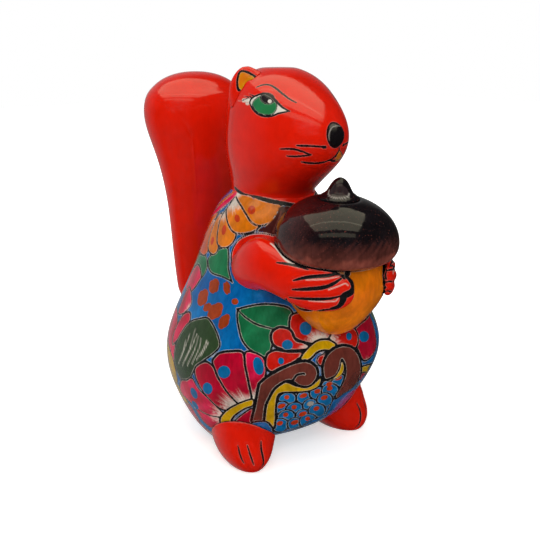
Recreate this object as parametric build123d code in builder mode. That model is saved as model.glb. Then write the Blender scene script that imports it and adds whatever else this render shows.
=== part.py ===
"""Squirrel figurine with an acorn in its paws, in millimetres.

The real thing is glazed earthenware: hollow press-moulded sections and solid hand-formed limbs, luted
together with slip and fired as one. Each clay section is one solid here and meets its neighbours
face to face.

Frame: +Z up, the squirrel faces -Y, and left and right are its own, so its left side is +X.
The origin lies in the flat underside that it stands on.
"""

from build123d import *

import os
from math import acos, cos, degrees, radians, sin

# Clay thickness, and how far a cut runs past what it cuts
WALL = 6.0
FLOOR = 7.0
CUT_OVERRUN = 5.0

# Body: a pear-shaped pot from the table to the neck seam, with a vent in its floor
BODY_HEIGHT = 186.0
BODY_WIDTH = 156.0
BELLY_REACH = 80.0
BACK_REACH = 77.0
NECK_WIDTH = 56.0
NECK_FRONT = 30.0
NECK_BACK = 26.5
VENT_RADIUS = 8.0
VENT_SETBACK = 16.0

# Head: from the neck seam to the crown, set a little forwards, with the muzzle towards -Y
HEAD_HEIGHT = 84.5
HEAD_WIDTH = 74.0
HEAD_REACH = 7.0
MUZZLE_REACH = 58.0
NAPE_REACH = 34.5

# Ears: pinched leaves of clay, each with a thumbed dish in its front
EAR_LENGTH = 23.0
EAR_WIDTH = 26.0
EAR_THICKNESS = 11.0
EAR_SPREAD = 24.0
EAR_SETBACK = -6.5
EAR_ROOT_HEIGHT = 248.0
EAR_LEAN = 9.0
EAR_TURN = 34.0
LEFT_EAR_DROP = 6.0
EAR_DISH_HEIGHT = 13.0
EAR_DISH_WIDTH = 12.0
EAR_DISH_DEPTH = 2.4

# Nose: a pressed-on button
NOSE_WIDTH = 14.0
NOSE_HEIGHT = 15.5
NOSE_LEVEL = 229.5
NOSE_STANDOUT = 3.2

# Tail: a hollow club behind the back, with a vent into the body
TAIL_HEIGHT = 264.0
TAIL_FOOT_HEIGHT = 12.0
TAIL_WIDTH = 92.0
TAIL_DEPTH = 60.0
TAIL_SETBACK = 93.0
TAIL_VENT_RADIUS = 4.0
TAIL_VENT_HEIGHT = 66.0

# Acorn: a hollow nut under a hollow cap with a solid stem, leaning forwards, with a vent into the body
ACORN_REACH = 66.5
ACORN_RIM_HEIGHT = 152.5
ACORN_LEAN = 3.5
ACORN_RIM_RADIUS = 31.0
NUT_RADIUS = 35.0
NUT_DEPTH = 54.5
NUT_VENT_RADIUS = 4.0
NUT_VENT_HEIGHT = 132.0
CAP_RADIUS = 40.8
CAP_HEIGHT = 40.0
STEM_RADIUS = 15.0
STEM_HEIGHT = 13.5

# Arms: solid coils from the shoulders round the nut, ending in paws; headings in degrees from +X
SHOULDER_SPREAD = 39.0
SHOULDER_REACH = 29.0
SHOULDER_HEIGHT = 143.5
SHOULDER_THICKNESS = 26.0
SHOULDER_DEPTH = 36.0
SHOULDER_ROOT_HEADING = -120.0
SHOULDER_HEADING = -105.0
WRIST_SPREAD = 40.0
WRIST_REACH = 50.0
WRIST_LEVEL = 146.8
WRIST_THICKNESS = 21.0
WRIST_HEADING = -84.0
PAW_LEVEL = 139.0
PAW_DEPTH = 28.0
PAW_THICKNESS = 13.0
PAW_TURN = 156.0

# Feet: solid stumps set in from the body's sides, with rounded toes
FOOT_INSET = 31.5
FOOT_REACH = 27.5
FOOT_WIDTH = 37.0
FOOT_LENGTH = 48.0
FOOT_HEIGHT = 44.0
FOOT_LEAN = 6.0
FOOT_SPLAY = 10.5

# Rings of the body below the neck: shares of its height, half width, belly reach and back reach
BODY_RING_SHARES = (
    (0.00, 0.52, 0.17, 0.53),
    (0.075, 0.745, 0.44, 0.76),
    (0.195, 0.90, 0.75, 0.92),
    (0.31, 0.99, 0.92, 1.00),
    (0.43, 1.00, 1.01, 0.97),
    (0.57, 0.875, 0.87, 0.865),
    (0.72, 0.715, 0.69, 0.71),
    (0.87, 0.58, 0.54, 0.58),
    (0.955, 0.475, 0.44, 0.475),
)

# Rings of the head above the neck: shares of its height, forward set, half width, muzzle and nape reach
HEAD_RING_SHARES = (
    (0.12, 0.50, 0.84, 0.65, 0.92),
    (0.30, 1.00, 0.975, 0.875, 1.00),
    (0.50, 1.00, 1.00, 1.00, 1.00),
    (0.66, 1.00, 0.965, 0.895, 0.97),
    (0.82, 1.00, 0.88, 0.635, 0.88),
    (0.94, 1.00, 0.615, 0.36, 0.62),
    (0.99, 1.00, 0.31, 0.155, 0.305),
)

# Rings of the tail: shares of its height, setback, half width and half depth
TAIL_RING_SHARES = (
    (0.00, 0.55, 0.40, 0.42),
    (0.12, 0.73, 0.50, 0.52),
    (0.24, 0.84, 0.56, 0.58),
    (0.36, 0.905, 0.59, 0.60),
    (0.48, 0.94, 0.615, 0.62),
    (0.60, 0.945, 0.665, 0.67),
    (0.70, 0.95, 0.755, 0.76),
    (0.79, 0.965, 0.88, 0.89),
    (0.87, 0.985, 0.985, 0.985),
    (0.93, 1.00, 0.92, 0.92),
    (0.97, 1.02, 0.70, 0.70),
    (0.995, 1.035, 0.28, 0.28),
)

# Rings of an ear from root to tip: shares of its length, half width and half thickness
EAR_RING_SHARES = (
    (0.00, 1.00, 1.00),
    (0.40, 0.95, 0.90),
    (0.72, 0.72, 0.66),
    (0.92, 0.40, 0.40),
    (1.00, 0.16, 0.18),
)

# Share of an ear's length where its dish is centred
EAR_DISH_SHARE = 0.62

# Profile of the nut from its tip to its rim: shares of its radius and depth
NUT_PROFILE_SHARES = ((0.66, 0.76), (1.00, 0.26))

# Share of the cap's height that its lip takes
CAP_LIP_SHARE = 0.26

# Rings of the stem from its seat to its tip: shares of its height, half width and half depth
STEM_RING_SHARES = (
    (0.00, 1.00, 1.00),
    (0.17, 0.72, 0.72),
    (0.37, 0.56, 0.54),
    (0.60, 0.45, 0.42),
    (0.78, 0.35, 0.32),
    (0.92, 0.22, 0.20),
    (1.00, 0.08, 0.08),
)

# Sections of a paw round the nut: shares of its turn, depth and thickness
PAW_RING_SHARES = (
    (0.72, 1.00, 1.00),
    (0.87, 0.94, 0.84),
    (0.96, 0.70, 0.62),
    (1.00, 0.38, 0.36),
)

# Share of the shoulder's spread where the arm starts, inside the body
SHOULDER_ROOT_SHARE = 0.65

# Rings of a foot from the table upwards: shares of its height, half width and half length
FOOT_RING_SHARES = (
    (0.00, 0.60, 0.76),
    (0.09, 0.78, 0.90),
    (0.23, 0.94, 1.00),
    (0.45, 1.00, 0.92),
    (0.73, 0.86, 0.74),
    (1.00, 0.50, 0.40),
)


def egg(height, setback, half_width, front, back):
    """Level face of two half ellipses that share a width, the front one towards -Y."""
    with BuildSketch(Plane((0, setback, height))) as face:
        with BuildLine():
            EllipticalCenterArc((0, 0), half_width, front, 180, arc_size=180)
            EllipticalCenterArc((0, 0), half_width, back, 0, arc_size=180)
        make_face()
    return face.sketch


def body_rings(floor, inset):
    """Rings of the body from a floor height to the neck seam, drawn in by an inset."""
    rise = BODY_HEIGHT - floor
    rings = []
    for height, width, front, back in BODY_RING_SHARES:
        half_width = width * BODY_WIDTH / 2 - inset
        belly = front * BELLY_REACH - inset
        rear = back * BACK_REACH - inset
        rings.append(egg(floor + height * rise, 0, half_width, belly, rear))
    rings.append(egg(BODY_HEIGHT, 0, NECK_WIDTH / 2 - inset, NECK_FRONT - inset, NECK_BACK - inset))
    return rings


def head_rings(inset):
    """Rings of the head from the neck seam to the crown, drawn in by an inset."""
    rise = HEAD_HEIGHT - inset
    slimming = (HEAD_WIDTH - inset * 2) / HEAD_WIDTH
    rings = [egg(BODY_HEIGHT, 0, NECK_WIDTH / 2 - inset, NECK_FRONT - inset, NECK_BACK - inset)]
    for height, reach, width, front, back in HEAD_RING_SHARES:
        half_width = width * HEAD_WIDTH / 2 * slimming
        muzzle = front * MUZZLE_REACH * slimming
        nape = back * NAPE_REACH * slimming
        rings.append(egg(BODY_HEIGHT + height * rise, -reach * HEAD_REACH, half_width, muzzle, nape))
    return rings


def tail_rings(inset):
    """Rings of the tail from its foot to its tip, drawn in by an inset."""
    foot = TAIL_FOOT_HEIGHT + inset
    rise = TAIL_HEIGHT - foot - inset
    slimming = (TAIL_DEPTH - inset * 2) / TAIL_DEPTH
    rings = []
    for height, setback, width, depth in TAIL_RING_SHARES:
        half_width = width * TAIL_WIDTH / 2 * slimming
        half_depth = depth * TAIL_DEPTH / 2 * slimming
        rings.append(egg(foot + height * rise, setback * TAIL_SETBACK, half_width, half_depth, half_depth))
    return rings


os.makedirs("parts", exist_ok=True)

# Body and head forms: the full clay volumes that the other sections are cut to
with BuildPart() as body_form:
    loft(body_rings(0, 0))

with BuildPart() as head_form:
    loft(head_rings(0))

# Acorn planes: its axis leans forwards, and its profiles are drawn with y along that axis
lean = radians(ACORN_LEAN)
acorn_centre = Vector(0, -ACORN_REACH, ACORN_RIM_HEIGHT)
acorn_axis = Axis(acorn_centre, (0, -sin(lean), cos(lean)))
cap_sweep = degrees(acos(STEM_RADIUS / CAP_RADIUS))
acorn_profile = Plane(acorn_centre, x_dir=(1, 0, 0), z_dir=(0, -cos(lean), -sin(lean)))


def nut_face(inset):
    """Half profile of the nut below its rim, drawn in by an inset."""
    radius = NUT_RADIUS - inset
    depth = NUT_DEPTH - inset
    rim = ACORN_RIM_RADIUS - inset
    (belly_radius_share, belly_share), (waist_radius_share, waist_share) = NUT_PROFILE_SHARES
    with BuildSketch(acorn_profile) as face:
        with BuildLine():
            Spline(
                (0, -depth),
                (radius * belly_radius_share, -depth * belly_share),
                (radius * waist_radius_share, -depth * waist_share),
                (rim, 0),
                tangents=((1, 0), (rim - radius, depth * waist_share)),
            )
            Polyline((rim, 0), (0, 0), (0, -depth))
        make_face()
    return face.sketch


def cap_face(inset):
    """Half profile of the domed cap above its rim, with a rounded lip and a flat seat for the stem."""
    radius = CAP_RADIUS - inset
    height = CAP_HEIGHT - inset
    rim = ACORN_RIM_RADIUS - inset
    lip = height * CAP_LIP_SHARE
    with BuildSketch(acorn_profile) as face:
        with BuildLine():
            EllipticalCenterArc((rim, lip), radius - rim, lip, -90, arc_size=90)
            dome = EllipticalCenterArc((0, lip), radius, height - lip, 0, arc_size=cap_sweep)
            Polyline(dome @ 1, (0, (dome @ 1).Y), (0, 0), (rim, 0))
        make_face()
    return face.sketch


with BuildPart() as nut_form:
    revolve(nut_face(0), axis=acorn_axis)

with BuildPart() as cap_form:
    revolve(cap_face(0), axis=acorn_axis)

# Body shell: hollow, with a vent in the floor and vents through the wall into the tail and the nut
with BuildPart() as body_shell:
    add(body_form.part)
    loft(body_rings(FLOOR, WALL), mode=Mode.SUBTRACT)
    with BuildSketch(Plane((0, VENT_SETBACK, 0))):
        Circle(VENT_RADIUS)
    extrude(amount=FLOOR + CUT_OVERRUN, mode=Mode.SUBTRACT)
    with BuildSketch(Plane((0, 0, TAIL_VENT_HEIGHT), x_dir=(1, 0, 0), z_dir=(0, 1, 0))):
        Circle(TAIL_VENT_RADIUS)
    extrude(amount=BACK_REACH + CUT_OVERRUN, mode=Mode.SUBTRACT)
    with BuildSketch(Plane((0, 0, NUT_VENT_HEIGHT), x_dir=(1, 0, 0), z_dir=(0, -1, 0))):
        Circle(NUT_VENT_RADIUS)
    extrude(amount=BELLY_REACH + CUT_OVERRUN, mode=Mode.SUBTRACT)
body_shell.part.label = "body_shell"
export_step(body_shell.part, "parts/body_shell.step")

# Head shell: hollow, open to the body at the neck seam
with BuildPart() as head_shell:
    add(head_form.part)
    loft(head_rings(WALL), mode=Mode.SUBTRACT)
head_shell.part.label = "head_shell"
export_step(head_shell.part, "parts/head_shell.step")

# Tail shell: hollow, seated on the back
with BuildPart() as tail_shell:
    loft(tail_rings(0))
    loft(tail_rings(WALL), mode=Mode.SUBTRACT)
    add(body_form.part, mode=Mode.SUBTRACT)
tail_shell.part.label = "tail_shell"
export_step(tail_shell.part, "parts/tail_shell.step")

# Acorn nut: hollow, seated on the chest
with BuildPart() as acorn_nut:
    add(nut_form.part)
    revolve(nut_face(WALL), axis=acorn_axis, mode=Mode.SUBTRACT)
    add(body_form.part, mode=Mode.SUBTRACT)
acorn_nut.part.label = "acorn_nut"
export_step(acorn_nut.part, "parts/acorn_nut.step")

# Acorn cap: hollow dome on the nut's rim
with BuildPart() as acorn_cap:
    add(cap_form.part)
    revolve(cap_face(WALL), axis=acorn_axis, mode=Mode.SUBTRACT)
    add(body_form.part, mode=Mode.SUBTRACT)
    add(head_form.part, mode=Mode.SUBTRACT)
acorn_cap.part.label = "acorn_cap"
export_step(acorn_cap.part, "parts/acorn_cap.step")

# Acorn stem: a solid pinched knob on the cap's seat
cap_lip = CAP_HEIGHT * CAP_LIP_SHARE
stem_seat = cap_lip + (CAP_HEIGHT - cap_lip) * sin(radians(cap_sweep))
with BuildPart() as acorn_stem:
    for height, width, depth in STEM_RING_SHARES:
        centre = acorn_axis.position + acorn_axis.direction * (stem_seat + STEM_HEIGHT * height)
        with BuildSketch(Plane(centre, x_dir=(1, 0, 0), z_dir=acorn_axis.direction)):
            Ellipse(STEM_RADIUS * width, STEM_RADIUS * depth)
    loft()
acorn_stem.part.label = "acorn_stem"
export_step(acorn_stem.part, "parts/acorn_stem.step")

# Arm before it is fitted: lofted from inside the body over the shoulder and the wrist, then round the nut
shoulder = Vector(-SHOULDER_SPREAD, -SHOULDER_REACH, SHOULDER_HEIGHT)
wrist = Vector(-WRIST_SPREAD, -WRIST_REACH, WRIST_LEVEL)
arm_root = Vector(-SHOULDER_SPREAD * SHOULDER_ROOT_SHARE, 0, SHOULDER_HEIGHT)
arm_sections = [
    (arm_root, SHOULDER_ROOT_HEADING, SHOULDER_THICKNESS, SHOULDER_DEPTH),
    (shoulder, SHOULDER_HEADING, SHOULDER_THICKNESS, SHOULDER_DEPTH),
    (wrist, WRIST_HEADING, WRIST_THICKNESS, (SHOULDER_DEPTH + PAW_DEPTH) / 2),
]
for turn, depth, thickness in PAW_RING_SHARES:
    angle = radians(turn * PAW_TURN)
    centre = Vector(-NUT_RADIUS * sin(angle), -ACORN_REACH + NUT_RADIUS * cos(angle), PAW_LEVEL)
    arm_sections.append((centre, turn * PAW_TURN - 180, PAW_THICKNESS * thickness, PAW_DEPTH * depth))

with BuildPart() as arm_form:
    for centre, heading, thickness, depth in arm_sections:
        direction = Vector(cos(radians(heading)), sin(radians(heading)), 0)
        with BuildSketch(Plane(centre, x_dir=direction.cross(Vector(0, 0, 1)), z_dir=direction)):
            Ellipse(thickness / 2, depth / 2)
    loft()

# Right arm
with BuildPart() as right_arm:
    add(arm_form.part)
    add(body_form.part, mode=Mode.SUBTRACT)
    add(nut_form.part, mode=Mode.SUBTRACT)
    add(cap_form.part, mode=Mode.SUBTRACT)
right_arm.part.label = "right_arm"
export_step(right_arm.part, "parts/right_arm.step")

# Left arm: the mirrored form, fitted the same way
with BuildPart() as left_arm:
    mirror(arm_form.part, about=Plane.YZ)
    add(body_form.part, mode=Mode.SUBTRACT)
    add(nut_form.part, mode=Mode.SUBTRACT)
    add(cap_form.part, mode=Mode.SUBTRACT)
left_arm.part.label = "left_arm"
export_step(left_arm.part, "parts/left_arm.step")

# Right foot: lofted from the table up into the hip
with BuildPart() as right_foot:
    splay = radians(FOOT_SPLAY)
    heel = Vector(sin(splay), cos(splay), 0)
    toe_plan = Vector(FOOT_INSET - BODY_WIDTH / 2, -FOOT_REACH, 0)
    for height, width, length in FOOT_RING_SHARES:
        centre = toe_plan + heel * (height * FOOT_LEAN) + Vector(0, 0, height * FOOT_HEIGHT)
        with BuildSketch(Plane(centre, x_dir=(cos(splay), -sin(splay), 0), z_dir=(0, 0, 1))):
            Ellipse(width * FOOT_WIDTH / 2, length * FOOT_LENGTH / 2)
    loft()
    add(body_form.part, mode=Mode.SUBTRACT)
right_foot.part.label = "right_foot"
export_step(right_foot.part, "parts/right_foot.step")

# Left foot: the right one mirrored
with BuildPart() as left_foot:
    mirror(right_foot.part, about=Plane.YZ)
left_foot.part.label = "left_foot"
export_step(left_foot.part, "parts/left_foot.step")

# Ear before it is fitted to the head: a lofted leaf with a dish in its front
ear_root = Plane((-EAR_SPREAD, EAR_SETBACK, EAR_ROOT_HEIGHT)).rotated((0, -EAR_LEAN, -EAR_TURN))
ear_out = ear_root.y_dir * -(EAR_THICKNESS / 2 + EAR_DISH_WIDTH / 2 - EAR_DISH_DEPTH)
ear_dish_centre = ear_root.origin + ear_root.z_dir * (EAR_LENGTH * EAR_DISH_SHARE) + ear_out
with BuildPart() as ear_form:
    for length, width, thickness in EAR_RING_SHARES:
        with BuildSketch(ear_root.offset(length * EAR_LENGTH)):
            Ellipse(width * EAR_WIDTH / 2, thickness * EAR_THICKNESS / 2)
    loft()
    with BuildSketch(Plane(ear_dish_centre, x_dir=ear_root.x_dir, z_dir=-ear_root.y_dir)):
        with BuildLine():
            EllipticalCenterArc((0, 0), EAR_DISH_WIDTH / 2, EAR_DISH_HEIGHT / 2, -90, arc_size=180)
            Line((0, EAR_DISH_HEIGHT / 2), (0, -EAR_DISH_HEIGHT / 2))
        make_face()
    revolve(axis=Axis(ear_dish_centre, ear_root.z_dir), mode=Mode.SUBTRACT)

# Right ear
with BuildPart() as right_ear:
    add(ear_form.part)
    add(head_form.part, mode=Mode.SUBTRACT)
right_ear.part.label = "right_ear"
export_step(right_ear.part, "parts/right_ear.step")

# Left ear: the mirrored form, set lower on the head than the right one
with BuildPart() as left_ear:
    mirror(Pos(0, 0, -LEFT_EAR_DROP) * ear_form.part, about=Plane.YZ)
    add(head_form.part, mode=Mode.SUBTRACT)
left_ear.part.label = "left_ear"
export_step(left_ear.part, "parts/left_ear.step")

# Nose: a button turned about an upright axis, seated on the muzzle
muzzle_tip = HEAD_REACH + MUZZLE_REACH
nose_centre = Vector(0, -muzzle_tip - NOSE_STANDOUT + NOSE_WIDTH / 2, NOSE_LEVEL)
with BuildPart() as nose:
    with BuildSketch(Plane(nose_centre, x_dir=(1, 0, 0), z_dir=(0, -1, 0))):
        with BuildLine():
            EllipticalCenterArc((0, 0), NOSE_WIDTH / 2, NOSE_HEIGHT / 2, -90, arc_size=180)
            Line((0, NOSE_HEIGHT / 2), (0, -NOSE_HEIGHT / 2))
        make_face()
    revolve(axis=Axis(nose_centre, (0, 0, 1)))
    add(head_form.part, mode=Mode.SUBTRACT)
nose.part.label = "nose"
export_step(nose.part, "parts/nose.step")
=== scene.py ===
import logging
import math
from dataclasses import dataclass
from enum import Enum
from typing import Callable, ClassVar, Optional, Sequence, Union

import bmesh
import bpy
import numpy as np
from mathutils import Matrix, Quaternion, Vector
from mathutils.bvhtree import BVHTree


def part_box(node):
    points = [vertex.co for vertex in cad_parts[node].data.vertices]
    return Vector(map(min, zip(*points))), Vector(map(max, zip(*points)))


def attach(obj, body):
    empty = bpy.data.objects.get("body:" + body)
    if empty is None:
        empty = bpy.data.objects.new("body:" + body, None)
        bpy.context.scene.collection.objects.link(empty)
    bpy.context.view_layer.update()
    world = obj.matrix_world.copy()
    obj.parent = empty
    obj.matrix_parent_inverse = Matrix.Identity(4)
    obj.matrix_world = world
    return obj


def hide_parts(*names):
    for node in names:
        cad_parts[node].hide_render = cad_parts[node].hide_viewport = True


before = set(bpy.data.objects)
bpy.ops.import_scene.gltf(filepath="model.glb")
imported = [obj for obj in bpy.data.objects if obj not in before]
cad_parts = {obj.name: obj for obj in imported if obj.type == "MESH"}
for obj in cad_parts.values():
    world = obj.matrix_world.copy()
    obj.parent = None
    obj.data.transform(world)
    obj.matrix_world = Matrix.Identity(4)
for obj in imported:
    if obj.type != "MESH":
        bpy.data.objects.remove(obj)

LOG = logging.getLogger("squirrel")
MM = 0.001
WHITE = (1.0, 1.0, 1.0, 1.0)
# A start for rays that is clear of the figure, in metres from its middle line.
OUTSIDE = 0.3
# How many vertices are measured at a time.
BLOCK = 3000
# The body's mean radius, in mm.
GIRTH_RADIUS = 76.0
# Half a leaf's edge from stalk to tip, as shares of its length and width.
LEAF_SHARES = ((-0.5, 0.0), (-0.3, 0.36), (0.0, 0.5), (0.28, 0.34), (0.5, 0.0))

Point = tuple[float, float]
Points = Sequence[Union[Point, "Polar"]]


class Paint(Enum):
    """The potter's colours, as they look under plain light."""

    RED = (210, 24, 4)
    BLUE = (1, 76, 140)
    AZURE = (4, 112, 174)
    RUST = (142, 52, 16)
    LEAF = (24, 106, 66)
    LEAF_DEEP = (8, 78, 44)
    LEAF_DARK = (42, 62, 36)
    CRIMSON = (164, 4, 38)
    PINK = (214, 22, 78)
    DOT = (4, 92, 142)
    YELLOW = (188, 146, 2)
    BROWN = (100, 45, 37)
    FLOWER = (176, 20, 8)
    ORANGE = (202, 108, 8)
    AMBER = (182, 52, 8)
    NUT = (218, 120, 6)
    SLIP = (206, 198, 186)
    INK = (18, 18, 21)
    CAP = (17, 13, 16)
    CAP_BROWN = (118, 60, 50)
    MAROON = (66, 20, 18)
    # Pale stone grey, also used for the painted highlights on the nose and the stem.
    STONE = (150, 144, 136)
    IRIS = (40, 118, 62)
    PUPIL = (44, 34, 36)
    CLAY = (184, 122, 92)

    @property
    def linear(self) -> np.ndarray:
        """The colour in linear light."""
        share = np.array(self.value) / 255.0
        return np.where(share <= 0.04045, share / 12.92, ((share + 0.055) / 1.055) ** 2.4)


@dataclass(frozen=True)
class Polar:
    """A place on the figure by compass angle from its front, in degrees, and height, in mm."""

    turn: float
    height: float


@dataclass(frozen=True)
class PhotoCamera:
    """The photograph's camera, in metres, with its focal length in pixels."""

    place: tuple[float, float, float] = (-0.337006, -0.420652, 0.287)
    target: tuple[float, float, float] = (-0.00101, 0.00081, 0.1265)
    focal: float = 771.0
    side: float = 540.0
    sensor: float = 36.0

    def build(self) -> None:
        """Makes the camera and gives it to the scene."""
        data = bpy.data.cameras.new("photo_camera")
        data.sensor_width = self.sensor
        data.lens = self.focal / self.side * self.sensor
        data.clip_start = 0.01
        camera = bpy.data.objects.new("photo_camera", data)
        camera.location = self.place
        camera.rotation_mode = "QUATERNION"
        camera.rotation_quaternion = self.forward.to_track_quat("-Z", "Y")
        bpy.context.scene.collection.objects.link(camera)
        bpy.context.scene.camera = camera

    @property
    def forward(self) -> Vector:
        """The way the camera looks."""
        return (Vector(self.target) - Vector(self.place)).normalized()

    def ray(self, x: float, y: float) -> tuple[Vector, Vector]:
        """The line of sight through a pixel.

        Args:
            x: Pixels from the left edge.
            y: Pixels from the top edge.

        Returns:
            The camera's place and the direction of sight.
        """
        right = self.forward.cross(Vector((0, 0, 1))).normalized()
        up = right.cross(self.forward)
        half = self.side / 2
        sight = self.forward + right * ((x - half) / self.focal) - up * ((y - half) / self.focal)
        return Vector(self.place), sight.normalized()


@dataclass(frozen=True)
class Tracing:
    """An enlarged part of the photograph that places are read from."""

    corner: Point
    scale: float
    camera: PhotoCamera = PhotoCamera()

    def ray(self, x: float, y: float) -> tuple[Vector, Vector]:
        """The line of sight through a place on the tracing."""
        return self.camera.ray(self.corner[0] + x / self.scale, self.corner[1] + y / self.scale)


BODY_TRACING = Tracing(corner=(160.0, 180.0), scale=5.0)
HEAD_TRACING = Tracing(corner=(215.0, 60.0), scale=8.0)


class Surface:
    """The outside of some CAD nodes, for casting rays and finding the nearest place."""

    def __init__(self, *nodes: str) -> None:
        """Builds the search tree from the nodes' own meshes."""
        bm = bmesh.new()
        for node in nodes:
            bm.from_mesh(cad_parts[node].data)
        self.tree = BVHTree.FromBMesh(bm)
        bm.free()

    def cast(self, origin: Vector, sight: Vector, reach: float = 2.0) -> Optional[Vector]:
        """The first place that a ray meets, or None."""
        return self.tree.ray_cast(origin, sight, reach)[0]

    def snap(self, points: np.ndarray) -> tuple[np.ndarray, np.ndarray, np.ndarray]:
        """The nearest places on the surface.

        Args:
            points: Places in mm, one a row.

        Returns:
            The nearest places in mm, their normals, and the distances in mm.
        """
        found = [self.tree.find_nearest(Vector(p) * MM) for p in points.tolist()]
        places = np.array([hit[0] for hit in found]) / MM
        normals = np.array([hit[1] for hit in found])
        return places, normals, np.array([hit[3] for hit in found]) / MM


def spline(points: np.ndarray, closed: bool, step: float = 0.6) -> np.ndarray:
    """A smooth path through points.

    Args:
        points: Places in mm, one a row.
        closed: Whether the path comes back to its start.
        step: The spacing along the path, in mm.

    Returns:
        The places along the path, with the start repeated at the end of a closed one.
    """
    if closed:
        guide = np.vstack([points[-1:], points, points[:2]])
    else:
        guide = np.vstack([2 * points[:1] - points[1:2], points, 2 * points[-1:] - points[-2:-1]])
    runs = []
    for a, b, c, d in zip(guide, guide[1:], guide[2:], guide[3:]):
        count = max(2, int(np.linalg.norm(c - b) / step) + 1)
        t = np.linspace(0, 1, count, endpoint=False)[:, None]
        runs.append(
            0.5 * (2 * b + (c - a) * t + (2 * a - 5 * b + 4 * c - d) * t**2 + (3 * b - a - 3 * c + d) * t**3)
        )
    runs.append(runs[0][:1] if closed else points[-1:])
    return np.vstack(runs)


def path_distance(points: np.ndarray, path: np.ndarray) -> tuple[np.ndarray, np.ndarray]:
    """How far places are from a path.

    Args:
        points: Places in mm, one a row.
        path: The path's places in mm, one a row.

    Returns:
        The distances in mm, and how far along the path the nearest place is, from 0 to 1.
    """
    start, run = path[:-1], path[1:] - path[:-1]
    square = (run * run).sum(1) + 1e-9
    distance, share = np.empty(len(points)), np.empty(len(points))
    for first in range(0, len(points), BLOCK):
        block = slice(first, first + BLOCK)
        offset = points[block, None, :] - start[None]
        along = np.clip((offset * run).sum(2) / square, 0, 1)
        gap = ((offset - along[..., None] * run) ** 2).sum(2)
        best = gap.argmin(1)
        rows = np.arange(len(best))
        distance[block] = np.sqrt(gap[rows, best])
        share[block] = (best + along[rows, best]) / len(run)
    return distance, share


def enclosed(places: np.ndarray, outline: np.ndarray) -> np.ndarray:
    """Whether flat places lie inside a closed outline.

    Args:
        places: Flat places, one a row.
        outline: The outline's places, with the first repeated at the end.

    Returns:
        True for each place inside.
    """
    x0, y0 = outline[:-1].T
    x1, y1 = outline[1:].T
    slope = (x1 - x0) / np.where(np.abs(y1 - y0) < 1e-9, 1e-9, y1 - y0)
    inside = np.zeros(len(places), bool)
    for first in range(0, len(places), BLOCK):
        block = slice(first, first + BLOCK)
        x, y = places[block, :1], places[block, 1:]
        crossed = ((y0 > y) != (y1 > y)) & (x < slope * (y - y0) + x0)
        inside[block] = crossed.sum(1) % 2 == 1
    return inside


def smoothstep(low: float, high: float, value: np.ndarray) -> np.ndarray:
    """A soft step from 0 at low to 1 at high."""
    t = np.clip((value - low) / (high - low), 0, 1)
    return t * t * (3 - 2 * t)


def ripple(points: np.ndarray, length: float, seed: float = 0.0) -> np.ndarray:
    """A smooth, fixed unevenness between -1 and 1 with the given wave length in mm."""
    x, y, z = (points / length * math.tau).T
    first = np.sin(0.9 * x + 0.5 * y - 0.7 * z + seed + np.sin(0.61 * y + 0.4 * z + 2 * seed))
    second = np.sin(0.6 * y - 0.8 * x + 0.9 * z + 1.7 * seed + np.sin(0.53 * x - 0.7 * z))
    return 0.5 * (first + second)


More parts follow.
